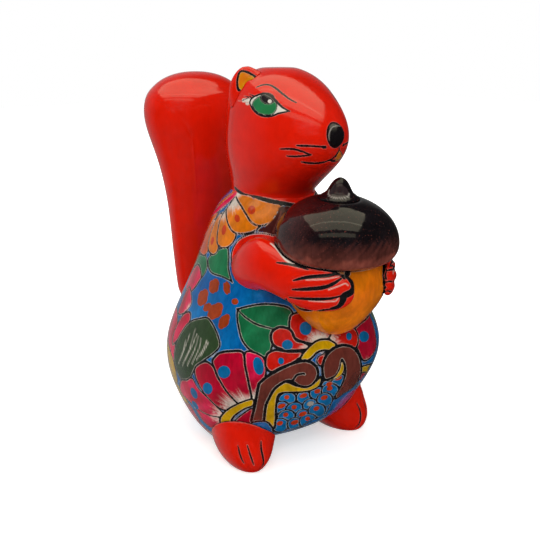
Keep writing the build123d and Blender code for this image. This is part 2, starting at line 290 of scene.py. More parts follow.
class Canvas:
    """Paint and ink at each vertex of one skin. Ink is the distance in mm from an ink line's edge."""

    FAR: ClassVar[float] = 9.0
    MISSED_RADIUS: ClassVar[float] = 0.03

    def __init__(self, mesh: bpy.types.Mesh, surface: Surface, tracing: Tracing, ground: Paint) -> None:
        """Covers a mesh with its ground colour."""
        count = len(mesh.vertices)
        flat = np.empty(count * 3, np.float32)
        mesh.vertices.foreach_get("co", flat)
        self.points = flat.reshape(-1, 3).astype(float) / MM
        normals = np.empty(count * 3, np.float32)
        mesh.vertex_normals.foreach_get("vector", normals)
        self.normals = normals.reshape(-1, 3).astype(float)
        self.mesh, self.surface, self.tracing = mesh, surface, tracing
        self.paint = np.tile(ground.linear, (count, 1))
        self.ink = np.full(count, self.FAR)
        self.spot = np.full(count, self.FAR)
        self.spot_paint = np.tile(ground.linear, (count, 1))
        self.rise = np.zeros(count)
        self.shift = np.zeros((count, 3))

    def anchor(self, point: Union[Point, Polar]) -> np.ndarray:
        """The place on the surface, in mm, of a tracing point or a compass angle and height."""
        if isinstance(point, Polar):
            turn = math.radians(point.turn)
            out = Vector((-math.sin(turn), -math.cos(turn), 0))
            axis = Vector((0, 0, point.height * MM))
            hit = self.surface.cast(axis + out * OUTSIDE, -out, OUTSIDE)
            return np.array(hit if hit else axis + out * self.MISSED_RADIUS) / MM
        origin, sight = self.tracing.ray(*point)
        hit = self.surface.cast(origin, sight)
        if hit is None:
            middle = Vector(np.median(self.points, axis=0)) * MM
            hit = self.surface.tree.find_nearest(origin + sight * (middle - origin).dot(sight))[0]
        return np.array(hit) / MM

    def route(self, points: Points, closed: bool, flip: bool) -> tuple[np.ndarray, np.ndarray]:
        """A smooth path on the surface through anchors.

        Args:
            points: Tracing points or compass places.
            closed: Whether the path is an outline.
            flip: Whether the path goes on the other side of the figure.

        Returns:
            The path's places in mm and the normals there.
        """
        path = spline(np.array([self.anchor(p) for p in points]), closed)
        if flip:
            path = path * (-1, 1, 1)
        places, normals, _ = self.surface.snap(path)
        return places, normals

    def near(self, path: np.ndarray, margin: float) -> np.ndarray:
        """The vertices within a margin of a path's box."""
        low, high = path.min(0) - margin, path.max(0) + margin
        return np.flatnonzero(((self.points > low) & (self.points < high)).all(1))

    def flat(self, picks: np.ndarray, path: np.ndarray, normals: np.ndarray) -> tuple[np.ndarray, ...]:
        """Lays vertices and a path flat, as seen along the path's mean normal.

        Args:
            picks: The vertices' numbers.
            path: The path's places.
            normals: The normals along the path.

        Returns:
            The flat vertices, the flat path, and which vertices face the same way.
        """
        facing = normals.mean(0)
        facing /= np.linalg.norm(facing)
        across = np.cross((0, 0, 1) if abs(facing[2]) < 0.9 else (0, 1, 0), facing)
        across /= np.linalg.norm(across)
        axes = np.stack([across, np.cross(facing, across)], 1)
        middle = path.mean(0)
        same_side = self.normals[picks] @ facing > -0.1
        return (self.points[picks] - middle) @ axes, (path - middle) @ axes, same_side

    def cover(self, outline: Points, margin: float, flip: bool) -> tuple[np.ndarray, ...]:
        """Finds the vertices in and near a closed outline.

        Args:
            outline: Tracing points or compass places.
            margin: How far round the outline to look, in mm.
            flip: Whether the outline goes on the other side of the figure.

        Returns:
            The vertices' numbers, their distances from the outline in mm, which of them lie inside it, and
            which face the same way.
        """
        path, normals = self.route(outline, True, flip)
        picks = self.near(path, margin)
        places, rim, same_side = self.flat(picks, path, normals)
        gap, _ = path_distance(self.points[picks], path)
        return picks, gap, enclosed(places, rim) & same_side, same_side

    def tint(self, paint: Paint, share: np.ndarray) -> None:
        """Mixes a colour into the paint by each vertex's share."""
        self.paint += (paint.linear - self.paint) * share[:, None]

    def draw(self, marks: Sequence["Mark"], flip: bool = False) -> None:
        """Paints marks one over another."""
        for mark in marks:
            mark.apply(self, flip)

    def save(self) -> None:
        """Writes paint and ink to the mesh, and moves each vertex by its rise."""
        moved = (self.points + self.shift + self.normals * self.rise[:, None]) * MM
        self.mesh.vertices.foreach_set("co", moved.astype(np.float32).ravel())
        for name, colours in (("paint", self.paint), ("spot_paint", self.spot_paint)):
            rgba = np.ones((len(colours), 4), np.float32)
            rgba[:, :3] = colours
            self.mesh.attributes.new(name, "FLOAT_COLOR", "POINT").data.foreach_set("color", rgba.ravel())
        for name, edges in (("ink", self.ink), ("spot", self.spot)):
            values = np.clip(edges, -self.FAR, self.FAR).astype(np.float32)
            self.mesh.attributes.new(name, "FLOAT", "POINT").data.foreach_set("value", values)
        self.mesh.update()

    def flare(self, other: Surface, swell: float, reach: float) -> None:
        """Spreads this piece along another that it grows out of, as clay worked into a joint."""
        _, facing, gap = other.snap(self.points)
        along = self.normals - (self.normals * facing).sum(1)[:, None] * facing
        self.shift += along * (swell * np.exp(-gap / reach))[:, None]

    def seam(self, other: Surface, weight: float, reach: float = 6.0) -> None:
        """Draws an ink line where another piece meets this one."""
        _, _, gap = other.snap(self.points)
        self.ink = np.minimum(self.ink, np.where(gap < reach, gap - weight, self.FAR))


@dataclass(frozen=True)
class Motif:
    """A painted shape with an ink outline. Its paint may thin to white slip at its root."""

    outline: Points
    paint: Paint
    tone: Optional[Paint] = None
    root: Optional[Union[Point, Polar]] = None
    fade: float = 0.0
    weight: float = 0.7
    MARGIN: ClassVar[float] = 4.0

    def apply(self, canvas: Canvas, flip: bool = False) -> None:
        """Paints the shape over what is there."""
        picks, gap, inside, _ = canvas.cover(self.outline, self.MARGIN, flip)
        chosen = picks[inside]
        canvas.paint[chosen] = self.colours(canvas, chosen, flip)
        canvas.spot[chosen] = np.maximum(canvas.spot[chosen], gap[inside])
        if self.weight > 0:
            edge = gap - self.weight
            canvas.ink[picks] = np.where(inside, edge, np.minimum(canvas.ink[picks], edge))
        else:
            canvas.ink[chosen] = np.maximum(canvas.ink[chosen], gap[inside])

    def colours(self, canvas: Canvas, chosen: np.ndarray, flip: bool) -> np.ndarray:
        """The brushed colours of the shape.

        Args:
            canvas: The skin that is painted.
            chosen: The vertices inside the shape.
            flip: Whether this is the copy on the other side.

        Returns:
            Linear colours, one a row.
        """
        points = canvas.points[chosen]
        colour = np.tile(self.paint.linear, (len(chosen), 1))
        if self.tone is not None:
            share = 0.5 + 0.5 * ripple(points, 19.0, len(self.outline))
            colour += (self.tone.linear - colour) * share[:, None]
        if self.root is not None:
            root = canvas.anchor(self.root)
            if flip:
                root = root * (-1, 1, 1)
            offset = points - root
            angle = np.arctan2(offset[:, 2], np.hypot(offset[:, 0], offset[:, 1]))
            streak = np.sin(angle * 41.0 + 1.9 * np.sin(angle * 17.0)) + 0.6 * np.sin(angle * 97.0)
            strength = smoothstep(0.35, 1.0, np.linalg.norm(offset, axis=1) / self.fade + 0.13 * streak)
            colour = Paint.SLIP.linear + (colour - Paint.SLIP.linear) * strength[:, None]
        return colour


@dataclass(frozen=True)
class Spot:
    """A dab of paint with a clean edge and no ink round it."""

    outline: Points
    paint: Paint = Paint.DOT
    MARGIN: ClassVar[float] = 3.0

    def apply(self, canvas: Canvas, flip: bool = False) -> None:
        """Dabs the spot over what is there."""
        picks, gap, inside, same_side = canvas.cover(self.outline, self.MARGIN, flip)
        edge = np.where(inside, -gap, gap)
        nearer = picks[(edge < canvas.spot[picks]) & same_side]
        canvas.spot_paint[nearer] = self.paint.linear
        facing, chosen = picks[same_side], picks[inside]
        canvas.spot[facing] = np.minimum(canvas.spot[facing], edge[same_side])
        canvas.ink[chosen] = np.maximum(canvas.ink[chosen], gap[inside])


@dataclass(frozen=True)
class Stroke:
    """An inked brush line, thinner at its ends. It may be cut into the clay."""

    points: Points
    weight: float = 0.7
    taper: float = 0.35
    depth: float = 0.0
    width: float = 2.0
    MARGIN: ClassVar[float] = 5.0

    def apply(self, canvas: Canvas, flip: bool = False) -> None:
        """Draws the line."""
        path, _ = canvas.route(self.points, False, flip)
        picks = canvas.near(path, self.MARGIN)
        gap, share = path_distance(canvas.points[picks], path)
        thin = 1 - self.taper * (2 * share - 1) ** 2
        canvas.ink[picks] = np.minimum(canvas.ink[picks], gap - self.weight * thin)
        canvas.rise[picks] -= self.depth * np.exp(-((gap / self.width) ** 2))


@dataclass(frozen=True)
class ScratchAndHighlight:
    """A pale line where the glaze was scratched or left bare, and on the nose and the stem a painted
    highlight.
    """

    points: Points
    weight: float = 0.5
    paint: Paint = Paint.SLIP
    MARGIN: ClassVar[float] = 3.0

    def apply(self, canvas: Canvas, flip: bool = False) -> None:
        """Draws the pale line over what is there."""
        path, _ = canvas.route(self.points, False, flip)
        picks = canvas.near(path, self.MARGIN)
        gap, _ = path_distance(canvas.points[picks], path)
        share = smoothstep(self.weight + 0.5, self.weight - 0.3, gap)[:, None]
        canvas.paint[picks] += (self.paint.linear - canvas.paint[picks]) * share


Mark = Union[Motif, Spot, Stroke, ScratchAndHighlight]


def oval(x: float, y: float, wide: float, high: float, lean: float = 0.0) -> Points:
    """The outline of an oval on a tracing.

    Args:
        x: Its middle, across.
        y: Its middle, down.
        wide: Its half width.
        high: Its half height.
        lean: Its lean to the right, in degrees.

    Returns:
        Ten places round the oval.
    """
    turn = math.radians(lean)
    spots = []
    for step in range(10):
        a = step * math.tau / 10
        across, down = wide * math.cos(a), high * math.sin(a)
        east = across * math.cos(turn) - down * math.sin(turn)
        south = across * math.sin(turn) + down * math.cos(turn)
        spots.append((x + east, y + south))
    return tuple(spots)


def dot(x: float, y: float, wide: float, high: float, paint: Paint = Paint.DOT, lean: float = 0.0) -> Spot:
    """An oval dab of paint."""
    return Spot(oval(x, y, wide, high, lean), paint)


def blot(x: float, y: float, wide: float, high: float, lean: float = 0.0) -> tuple[Spot, ...]:
    """An uneven dab of rust: an oval with two smaller ones at its edge."""
    lobes = ((0.0, 0.0, 1.0), (0.5, -0.55, 0.66), (-0.45, 0.5, 0.7))
    return tuple(
        dot(x + dx * wide, y + dy * high, wide * size, high * size, Paint.RUST, lean)
        for dx, dy, size in lobes
    )


def leaf(turn: float, height: float, long: float, wide: float, lean: float) -> Points:
    """The outline of a pointed leaf placed by compass.

    Args:
        turn: The compass angle of its middle, in degrees.
        height: The height of its middle, in mm.
        long: Its length in mm.
        wide: Its width in mm.
        lean: How far its tip leans from upright, in degrees.

    Returns:
        The places round the leaf.
    """
    a = math.radians(lean)
    spots = []
    other_half = ((along, -across) for along, across in reversed(LEAF_SHARES[1:]))
    for along, across in (*LEAF_SHARES, *other_half):
        up, side = along * long, across * wide
        east, rise = side * math.cos(a) + up * math.sin(a), up * math.cos(a) - side * math.sin(a)
        spots.append(Polar(turn - math.degrees(east / GIRTH_RADIUS), height + rise))
    return tuple(spots)


def make_skin(name: str, bm: bmesh.types.BMesh) -> bpy.types.Mesh:
    """Turns a bmesh into a smooth shaded mesh."""
    mesh = bpy.data.meshes.new(name)
    bm.normal_update()
    bm.to_mesh(mesh)
    bm.free()
    mesh.polygons.foreach_set("use_smooth", [True] * len(mesh.polygons))
    mesh.update()
    return mesh


@dataclass
class CastSkin:
    """A fine net drawn over a CAD node: a cube's grid, blown up and laid on by rays from outside."""

    surface: Surface
    centre: tuple[float, float, float]
    cells: int
    half_height: float = 0.0
    crowd: float = 0.0
    rounds: int = 24
    plugs: tuple[float, ...] = ()
    rim: Optional[float] = None
    steep: float = 0.6
    axis: Optional[Callable[[np.ndarray], np.ndarray]] = None
    REACH: ClassVar[float] = 0.32
    RIM_BAND: ClassVar[float] = 0.25
    GIVE_BACK: ClassVar[int] = 5

    def build(self, name: str) -> bpy.types.Mesh:
        """Makes the net.

        Args:
            name: The mesh's name.

        Returns:
            The smooth shaded mesh, in metres.
        """
        bm = bmesh.new()
        bmesh.ops.create_cube(bm, size=2.0)
        bmesh.ops.subdivide_edges(bm, edges=bm.edges[:], cuts=self.cells - 1, use_grid_fill=True)
        bmesh.ops.recalc_face_normals(bm, faces=bm.faces[:])
        bm.verts.ensure_lookup_table()
        box = np.array([v.co for v in bm.verts])
        sight = np.tan(box * math.pi / 4)
        sight /= np.linalg.norm(sight, axis=1)[:, None]
        if self.crowd:
            toward = -np.array(PhotoCamera().forward)
            sight = sight + self.crowd * toward
            sight /= np.linalg.norm(sight, axis=1)[:, None]
        heart = np.tile(np.array(self.centre), (len(sight), 1))
        heart[:, 2] += self.half_height * sight[:, 2]
        if self.axis is not None:
            heart[:, 1] = self.axis(heart[:, 2])
        far = self.cast(heart, sight)
        ends = np.array([(e.verts[0].index, e.verts[1].index) for e in bm.edges]).T
        places = heart + sight * self.relax(far, ends)[:, None]
        for vert, place in zip(bm.verts, places.tolist()):
            vert.co = Vector(place) * MM
        return make_skin(name, bm)

    def cast(self, heart: np.ndarray, sight: np.ndarray) -> np.ndarray:
        """How far out the surface is along each ray, in mm."""
        far = np.full(len(sight), np.nan)
        for number, (core, way) in enumerate(zip(heart.tolist(), sight.tolist())):
            ray = Vector(way)
            middle = Vector(core) * MM
            hit = self.surface.cast(middle + ray * self.REACH, -ray, self.REACH)
            if hit is None or (self.rim is not None and abs(hit.z / MM - self.rim) < self.RIM_BAND):
                continue
            far[number] = (hit - middle).length / MM
        for level in self.plugs:
            lift = level - heart[:, 2]
            plug = lift / np.where(np.abs(sight[:, 2]) < 1e-6, 1e-6, sight[:, 2])
            far = np.where(np.isnan(far) & (plug > 0) & (np.abs(sight[:, 2]) > self.steep), plug, far)
        return far

    def relax(self, far: np.ndarray, ends: np.ndarray) -> np.ndarray:
        """Smooths the net along its edges.

        Args:
            far: The distance of each vertex from its heart, in mm.
            ends: The two vertices of each edge.

        Returns:
            The smoothed distances.
        """
        links = self.around(np.ones(len(far)), ends)
        while np.isnan(far).any():
            lost = np.isnan(far)
            total = self.around(np.nan_to_num(far), ends)
            near = self.around(np.where(lost, 0.0, 1.0), ends)
            far = np.where(lost & (near > 0), total / np.maximum(near, 1), far)
        smooth = self.soften(far, ends, links, self.rounds)
        return smooth + self.soften(far - smooth, ends, links, self.rounds * self.GIVE_BACK)

    def around(self, value: np.ndarray, ends: np.ndarray) -> np.ndarray:
        """The sum of the values at each vertex's neighbours."""
        count = len(value)
        return np.bincount(ends[0], value[ends[1]], count) + np.bincount(ends[1], value[ends[0]], count)

    def soften(self, value: np.ndarray, ends: np.ndarray, links: np.ndarray, rounds: int) -> np.ndarray:
        """Averages a value with its neighbours' along the edges, some rounds over."""
        for _ in range(rounds):
            value = value + 0.5 * (self.around(value, ends) / links - value)
        return value


@dataclass
class VoxelSkin:
    """An even net over a CAD node: a merged copy, remeshed and smoothed."""

    node: str
    cell: float
    rounds: int = 6
    MERGE: ClassVar[float] = 0.002

    def build(self, name: str) -> bpy.types.Mesh:
        """Makes the net.

        Args:
            name: The mesh's name.

        Returns:
            The smooth shaded mesh, in metres.
        """
        bm = bmesh.new()
        bm.from_mesh(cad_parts[self.node].data)
        bmesh.ops.remove_doubles(bm, verts=bm.verts[:], dist=self.MERGE * MM)
        rough = bpy.data.objects.new(name + "_rough", make_skin(name + "_rough", bm))
        bpy.context.scene.collection.objects.link(rough)
        remesh = rough.modifiers.new("even", "REMESH")
        remesh.mode = "VOXEL"
        remesh.voxel_size = self.cell * MM
        even = bpy.data.meshes.new_from_object(rough.evaluated_get(bpy.context.evaluated_depsgraph_get()))
        bpy.data.objects.remove(rough)
        bm = bmesh.new()
        bm.from_mesh(even)
        for _ in range(self.rounds):
            bmesh.ops.smooth_vert(bm, verts=bm.verts[:], factor=0.5, use_axis_x=True, use_axis_y=True,
                                  use_axis_z=True)
        return make_skin(name, bm)


class NodeBench:
    """Lays out the nodes of one material or of the world."""

    def __init__(self, owner: Union[bpy.types.Material, bpy.types.World]) -> None:
        """Starts on the owner's own shader."""
        owner.use_nodes = True
        self.tree = owner.node_tree
        self.shader = next(n for n in self.tree.nodes if n.type in {"BSDF_PRINCIPLED", "BACKGROUND"})
        self.coords = self.add("ShaderNodeTexCoord").outputs

    def add(self, kind: str, **settings: object) -> bpy.types.Node:
        """Adds a node and sets its own settings."""
        node = self.tree.nodes.new(kind)
        for key, value in settings.items():
            setattr(node, key, value)
        return node

    def feed(self, socket: bpy.types.NodeSocket, value: object) -> None:
        """Links an output to a socket, or sets the socket's own value."""
        if isinstance(value, bpy.types.NodeSocket):
            self.tree.links.new(value, socket)
        else:
            socket.default_value = value

    def attribute(self, name: str, output: str) -> bpy.types.NodeSocket:
        """Reads an attribute of the mesh."""
        return self.add("ShaderNodeAttribute", attribute_name=name).outputs[output]

    def noise(self, scale: float, detail: float = 3.0, spread: tuple[float, float, float] = (1, 1, 1),
              twist: float = 0.0) -> bpy.types.NodeSocket:
        """A noise on Object coordinates.

        Args:
            scale: Its scale, per metre.
            detail: Its detail.
            spread: How it is squeezed along X, Y and Z.
            twist: Its distortion.

        Returns:
            The noise, from 0 to 1.
        """
        mapping = self.add("ShaderNodeMapping")
        mapping.inputs["Scale"].default_value = spread
        self.feed(mapping.inputs["Vector"], self.coords["Object"])
        node = self.add("ShaderNodeTexNoise")
        self.feed(node.inputs["Vector"], mapping.outputs["Vector"])
        node.inputs["Scale"].default_value = scale
        node.inputs["Detail"].default_value = detail
        node.inputs["Distortion"].default_value = twist
        return node.outputs["Fac"]

    def ramp(self, value: bpy.types.NodeSocket, low: float, high: float, start: float, end: float,
             soft: bool = True) -> bpy.types.NodeSocket:
        """Maps a value from low..high to start..end."""
        node = self.add("ShaderNodeMapRange")
        if soft:
            node.interpolation_type = "SMOOTHSTEP"
        self.feed(node.inputs["Value"], value)
        for key, number in (("From Min", low), ("From Max", high), ("To Min", start), ("To Max", end)):
            node.inputs[key].default_value = number
        return node.outputs["Result"]

    def math(self, kind: str, a: object, b: object) -> bpy.types.NodeSocket:
        """Joins two values."""
        node = self.add("ShaderNodeMath", operation=kind)
        self.feed(node.inputs[0], a)
        self.feed(node.inputs[1], b)
        return node.outputs[0]

    def choose(self, switch: bpy.types.NodeSocket, off: object, on: object) -> bpy.types.NodeSocket:
        """Passes one of two values by a switch."""
        node = self.add("ShaderNodeMix")
        for socket, value in ((node.inputs[0], switch), (node.inputs[2], off), (node.inputs[3], on)):
            self.feed(socket, value)
        return node.outputs[0]

    def mix(self, share: object, a: object, b: object, blend: str = "MIX") -> bpy.types.NodeSocket:
        """Mixes two colours by a share."""
        node = self.add("ShaderNodeMix", data_type="RGBA", blend_type=blend)
        self.feed(node.inputs[0], share)
        self.feed(node.inputs[6], a)
        self.feed(node.inputs[7], b)
        return node.outputs[2]


@dataclass(frozen=True)
class Glaze:
    """A glossy lead glaze over brushed paint and ink lines. Scales are per metre, and edges are in mm."""

    slot: str
    roughness: float = 0.13
    mottle: float = 0.16
    streak: float = 0.1
    streak_spread: tuple[float, float, float] = (1.0, 1.0, 0.25)
    halo: float = 0.6
    wave: float = 0.1
    speckle: Optional[Paint] = None
    shine: float = 0.5
    POOL_SCALE: ClassVar[float] = 70.0
    BRUSH_SCALE: ClassVar[float] = 420.0
    SPECKLE_SCALE: ClassVar[float] = 900.0
    WOBBLE_SCALE: ClassVar[float] = 800.0
    WOBBLE: ClassVar[float] = 0.16
    PATCH_SCALE: ClassVar[float] = 300.0
    GLOSS_SCALE: ClassVar[float] = 240.0
    SWELL_SCALE: ClassVar[float] = 55.0
    GRAIN_SCALE: ClassVar[float] = 650.0
    GLASS_IOR: ClassVar[float] = 1.52
    WAVE_HEIGHT: ClassVar[float] = 0.004

    def material(self) -> bpy.types.Material:
        """Makes the finish.

        Returns:
            The material, which reads the skin's paint and ink.
        """
        material = bpy.data.materials.new(self.slot)
        bench = NodeBench(material)
        inked, bare = self.colour(bench)
        pits = bench.noise(self.GLOSS_SCALE)
        gloss = bench.ramp(pits, 0.3, 0.8, self.roughness * 0.75, self.roughness * 1.5)
        dulled = bench.math("ADD", gloss, bench.math("MULTIPLY", inked, 0.14))
        bench.feed(bench.shader.inputs["Roughness"], dulled)
        bench.shader.inputs["IOR"].default_value = self.GLASS_IOR
        bench.shader.inputs["Specular IOR Level"].default_value = self.shine
        self.relief(bench, bench.math("ADD", inked, bare))
        return material

    def colour(self, bench: NodeBench) -> tuple[bpy.types.NodeSocket, bpy.types.NodeSocket]:
        """Lays paint, dabs, bare slip and ink one over another.

        Args:
            bench: The material's bench.

        Returns:
            How far each place is inked, and how far it is bare.
        """
        pools = bench.noise(self.POOL_SCALE, 4.0, twist=0.4)
        pool = bench.ramp(pools, 0.3, 0.7, 1 - self.mottle, 1 + self.mottle)
        strokes = bench.noise(self.BRUSH_SCALE, 3.0, self.streak_spread, 0.6)
        brush = bench.ramp(strokes, 0.25, 0.75, 1 - self.streak, 1 + self.streak)
        tone = bench.math("MULTIPLY", pool, brush)
        base = bench.mix(1.0, bench.attribute("paint", "Color"), tone, "MULTIPLY")
        if self.speckle is not None:
            grain = bench.ramp(bench.noise(self.SPECKLE_SCALE, 4.0), 0.62, 0.72, 0.0, 0.55)
            base = bench.mix(grain, base, (*self.speckle.linear, 1.0))
        wobble = bench.ramp(bench.noise(self.WOBBLE_SCALE, 2.0), 0.2, 0.8, -self.WOBBLE, self.WOBBLE, False)
        dab = bench.math("ADD", bench.attribute("spot", "Fac"), wobble)
        dab_paint = bench.mix(1.0, bench.attribute("spot_paint", "Color"), tone, "MULTIPLY")
        base = bench.mix(bench.ramp(dab, -0.2, 0.2, 1.0, 0.0), base, dab_paint)
        line = bench.math("ADD", bench.attribute("ink", "Fac"), wobble)
        inked = bench.ramp(line, -0.12, 0.16, 1.0, 0.0)
        patchy = bench.ramp(bench.noise(self.PATCH_SCALE, 2.0), 0.35, 0.6, 0.35 * self.halo, self.halo)
        bare = bench.math("MULTIPLY", bench.ramp(line, 0.12, 0.55, 1.0, 0.0), patchy)
        base = bench.mix(bare, base, (*Paint.SLIP.linear, 1.0))
        base = bench.mix(inked, base, (*Paint.INK.linear, 1.0))
        bench.feed(bench.shader.inputs["Base Color"], base)
        return inked, bare

    def relief(self, bench: NodeBench, sunk: bpy.types.NodeSocket) -> None:
        """Gives the glaze its slow swell and fine grain, and sinks the ink and bare lines."""
        swell = bench.math("MULTIPLY", bench.noise(self.SWELL_SCALE, 2.0), 0.6)
        grain = bench.math("MULTIPLY", bench.noise(self.GRAIN_SCALE, 2.0), 0.03)
        height = bench.math("SUBTRACT", bench.math("ADD", swell, grain), bench.math("MULTIPLY", sunk, 0.12))
        bump = bench.add("ShaderNodeBump")
        bump.inputs["Strength"].default_value = self.wave
        bump.inputs["Distance"].default_value = self.WAVE_HEIGHT
        bench.feed(bump.inputs["Height"], height)
        bench.feed(bench.shader.inputs["Normal"], bump.outputs["Normal"])


PAINTED = Glaze("painted_glaze", streak=0.14)
RED = Glaze("red_glaze", mottle=0.05, streak=0.03, halo=0.2)
ORANGE = Glaze("orange_glaze", mottle=0.16, streak=0.1, halo=0.6)
BROWN_BLACK = Glaze("brown_black_glaze", roughness=0.08, mottle=0.3, streak=0.2, speckle=Paint.CAP_BROWN,
                    shine=0.36)
BLACK = Glaze("black_glaze", roughness=0.2, mottle=0.25, streak=0.15, halo=0.5)


class Workshop:
    """Keeps one material for each finish, and places finished pieces on the frame."""

    def __init__(self) -> None:
        """Starts with no materials made."""
        self.made: dict[str, bpy.types.Material] = {}

    def place(self, name: str, mesh: bpy.types.Mesh, finish: Glaze, *nodes: str) -> bpy.types.Object:
        """Puts a piece in the scene in place of its CAD nodes.

        Args:
            name: The piece's name.
            mesh: Its mesh, in metres.
            finish: Its finish.
            *nodes: The CAD nodes that it stands for.

        Returns:
            The piece.
        """
        if finish.slot not in self.made:
            self.made[finish.slot] = finish.material()
        mesh.materials.clear()
        mesh.materials.append(self.made[finish.slot])
        piece = bpy.data.objects.new(name, mesh)
        bpy.context.scene.collection.objects.link(piece)
        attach(piece, "root")
        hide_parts(*nodes)
        LOG.info("%s: %d vertices, %d faces", name, len(mesh.vertices), len(mesh.polygons))
        return piece


# Painted marks. Places are on BODY_TRACING, or on HEAD_TRACING for the face, ears and nose.
COLLAR: tuple[Mark, ...] = (
    Motif(((375, 40), (330, 85), (262, 170), (205, 290), (188, 345), (205, 372), (240, 340), (275, 200),
           (385, 66)), Paint.ORANGE, Paint.AMBER, weight=0.6),
    Motif(((268, 200), (240, 250), (214, 300), (200, 345), (214, 376), (236, 362), (244, 325), (262, 262),
           (290, 195)), Paint.ORANGE, Paint.AMBER, root=(320, 130), fade=17, weight=0.55),
    Motif(((300, 170), (272, 215), (250, 280), (240, 340), (260, 372), (284, 360), (294, 320), (300, 262),
           (330, 170)), Paint.ORANGE, root=(350, 125), fade=16, weight=0.55),
    Motif(((335, 140), (322, 160), (300, 200), (288, 262), (286, 312), (304, 336), (336, 336), (366, 310),
           (382, 268), (380, 200), (372, 120)), Paint.ORANGE, root=(352, 115), fade=14, weight=0.55),
    Motif(((380, 85), (350, 120), (332, 150), (334, 196), (350, 240), (376, 264), (420, 268), (468, 256),
           (500, 232), (500, 180), (430, 95)), Paint.ORANGE, root=(372, 100), fade=12, weight=0.6),
    Motif(((388, 66), (384, 92), (404, 128), (430, 170), (452, 206), (482, 226), (522, 226), (562, 206),
           (592, 162), (606, 126), (560, 110), (460, 90)), Paint.ORANGE, root=(388, 66), fade=8,
          weight=0.65),
    Motif(((385, 58), (340, 88), (300, 124), (262, 160), (256, 178), (276, 170), (318, 136), (360, 100),
           (390, 72)), Paint.PINK, weight=0.5),
    dot(458, 150, 20, 22, Paint.AMBER, 20),
    dot(386, 192, 14, 20, Paint.AMBER, -10),
    dot(320, 250, 11, 26, Paint.AMBER, 12),
    dot(262, 304, 7, 22, Paint.AMBER, 12),
)

NECK: tuple[Mark, ...] = (
    Motif(((660, 122), (600, 134), (586, 162), (564, 196), (536, 224), (502, 238), (488, 258), (522, 266),
           (580, 290), (720, 300), (720, 130)), Paint.MAROON, weight=0.0),
    Motif(((366, 440), (357, 400), (358, 366), (372, 328), (402, 293), (446, 273), (497, 266), (552, 274),
           (600, 300), (640, 360), (560, 420), (440, 460)), Paint.RED, weight=0.5),
    ScratchAndHighlight(((606, 160), (594, 196), (580, 226), (566, 262)), 0.35, Paint.CAP_BROWN),
    Motif(((375, 38), (412, 66), (480, 88), (560, 108), (655, 124), (720, 130), (720, 60), (560, 40),
           (440, 20)), Paint.RED, weight=0.0),
    Stroke(((375, 38), (412, 66), (480, 88), (560, 108), (655, 124), (700, 128)), 1.6, 0.3),
)

GROUND: tuple[Mark, ...] = (
    *blot(214, 588, 24, 36),
    *blot(270, 530, 22, 32, -20),
    *blot(334, 540, 12, 30, -30),
    dot(375, 608, 17, 16, Paint.RUST),
    *blot(236, 636, 18, 18),
    *blot(276, 656, 34, 36, 25),
    *blot(320, 708, 25, 32, 20),
    Motif(((240, 402), (252, 378), (300, 345), (336, 338), (344, 380), (342, 440), (358, 506), (358, 506),
           (312, 484), (262, 466), (244, 440)), Paint.LEAF, weight=0.55),
    Motif(((226, 378), (236, 410), (232, 450), (205, 490), (160, 514), (156, 516), (166, 455), (184, 405),
           (200, 368)), Paint.LEAF, weight=0.5),
    Motif(((388, 646), (388, 646), (440, 632), (520, 620), (600, 626), (650, 644), (668, 690), (640, 740),
           (570, 760), (560, 830), (546, 868), (528, 888), (480, 868), (438, 838), (408, 794), (394, 740),
           (386, 690)), Paint.LEAF_DEEP, Paint.LEAF, weight=0.65),
    Stroke(((390, 650), (424, 684), (480, 720), (560, 744), (600, 752)), 0.6),
)

LEFT_SIDE: tuple[Mark, ...] = (
    Motif(((150, 536), (128, 560), (108, 610), (92, 660), (104, 672), (136, 650), (158, 610)),
          Paint.CRIMSON, Paint.PINK, root=(150, 670), fade=10, weight=0.5),
    Motif((Polar(138, 84), Polar(124, 100), Polar(110, 100), Polar(100, 88), Polar(101, 64), Polar(118, 54),
           Polar(134, 62)), Paint.CRIMSON, Paint.PINK, root=Polar(122, 58), fade=13, weight=0.6),
    Motif((Polar(124, 77), Polar(108, 77), Polar(99, 68), Polar(100, 54), Polar(112, 50), Polar(124, 60)),
          Paint.YELLOW, weight=0.6),
    Motif((Polar(134, 52), Polar(118, 54), Polar(102, 50), Polar(92, 36), Polar(93, 20), Polar(110, 14),
           Polar(128, 26)), Paint.CRIMSON, Paint.PINK, root=Polar(102, 16), fade=16, weight=0.6),
    Motif((Polar(120, 53), Polar(106, 54), Polar(97, 47), Polar(96, 38), Polar(106, 36), Polar(118, 42)),
          Paint.YELLOW, weight=0.6),
    Motif((Polar(124, 24), Polar(108, 28), Polar(92, 24), Polar(82, 12), Polar(92, 3), Polar(114, 6)),
          Paint.CRIMSON, Paint.PINK, root=Polar(88, 6), fade=16, weight=0.5),
    Motif(((150, 662), (122, 668), (96, 704), (74, 752), (62, 800), (66, 822), (92, 792), (124, 744),
           (150, 700)), Paint.CRIMSON, Paint.PINK, weight=0.6),
    Motif(((200, 692), (238, 690), (266, 726), (290, 780), (298, 832), (262, 872), (214, 906), (176, 942),
           (144, 1002), (106, 996), (76, 930), (72, 860), (98, 778), (146, 712)), Paint.LEAF_DARK,
          weight=0.6),
    ScratchAndHighlight(((92, 920), (112, 868), (130, 800)), 0.12),
    ScratchAndHighlight(((112, 930), (146, 850), (178, 744)), 0.12),
    ScratchAndHighlight(((136, 930), (172, 850), (192, 780)), 0.12),
    ScratchAndHighlight(((160, 920), (192, 850), (206, 790)), 0.12),
    ScratchAndHighlight(((182, 900), (214, 850), (236, 800)), 0.12),
    ScratchAndHighlight(((204, 880), (226, 842), (242, 812)), 0.12),
    ScratchAndHighlight(((100, 900), (124, 840), (150, 770)), 0.1),
    ScratchAndHighlight(((126, 900), (160, 830), (184, 770)), 0.1),
)

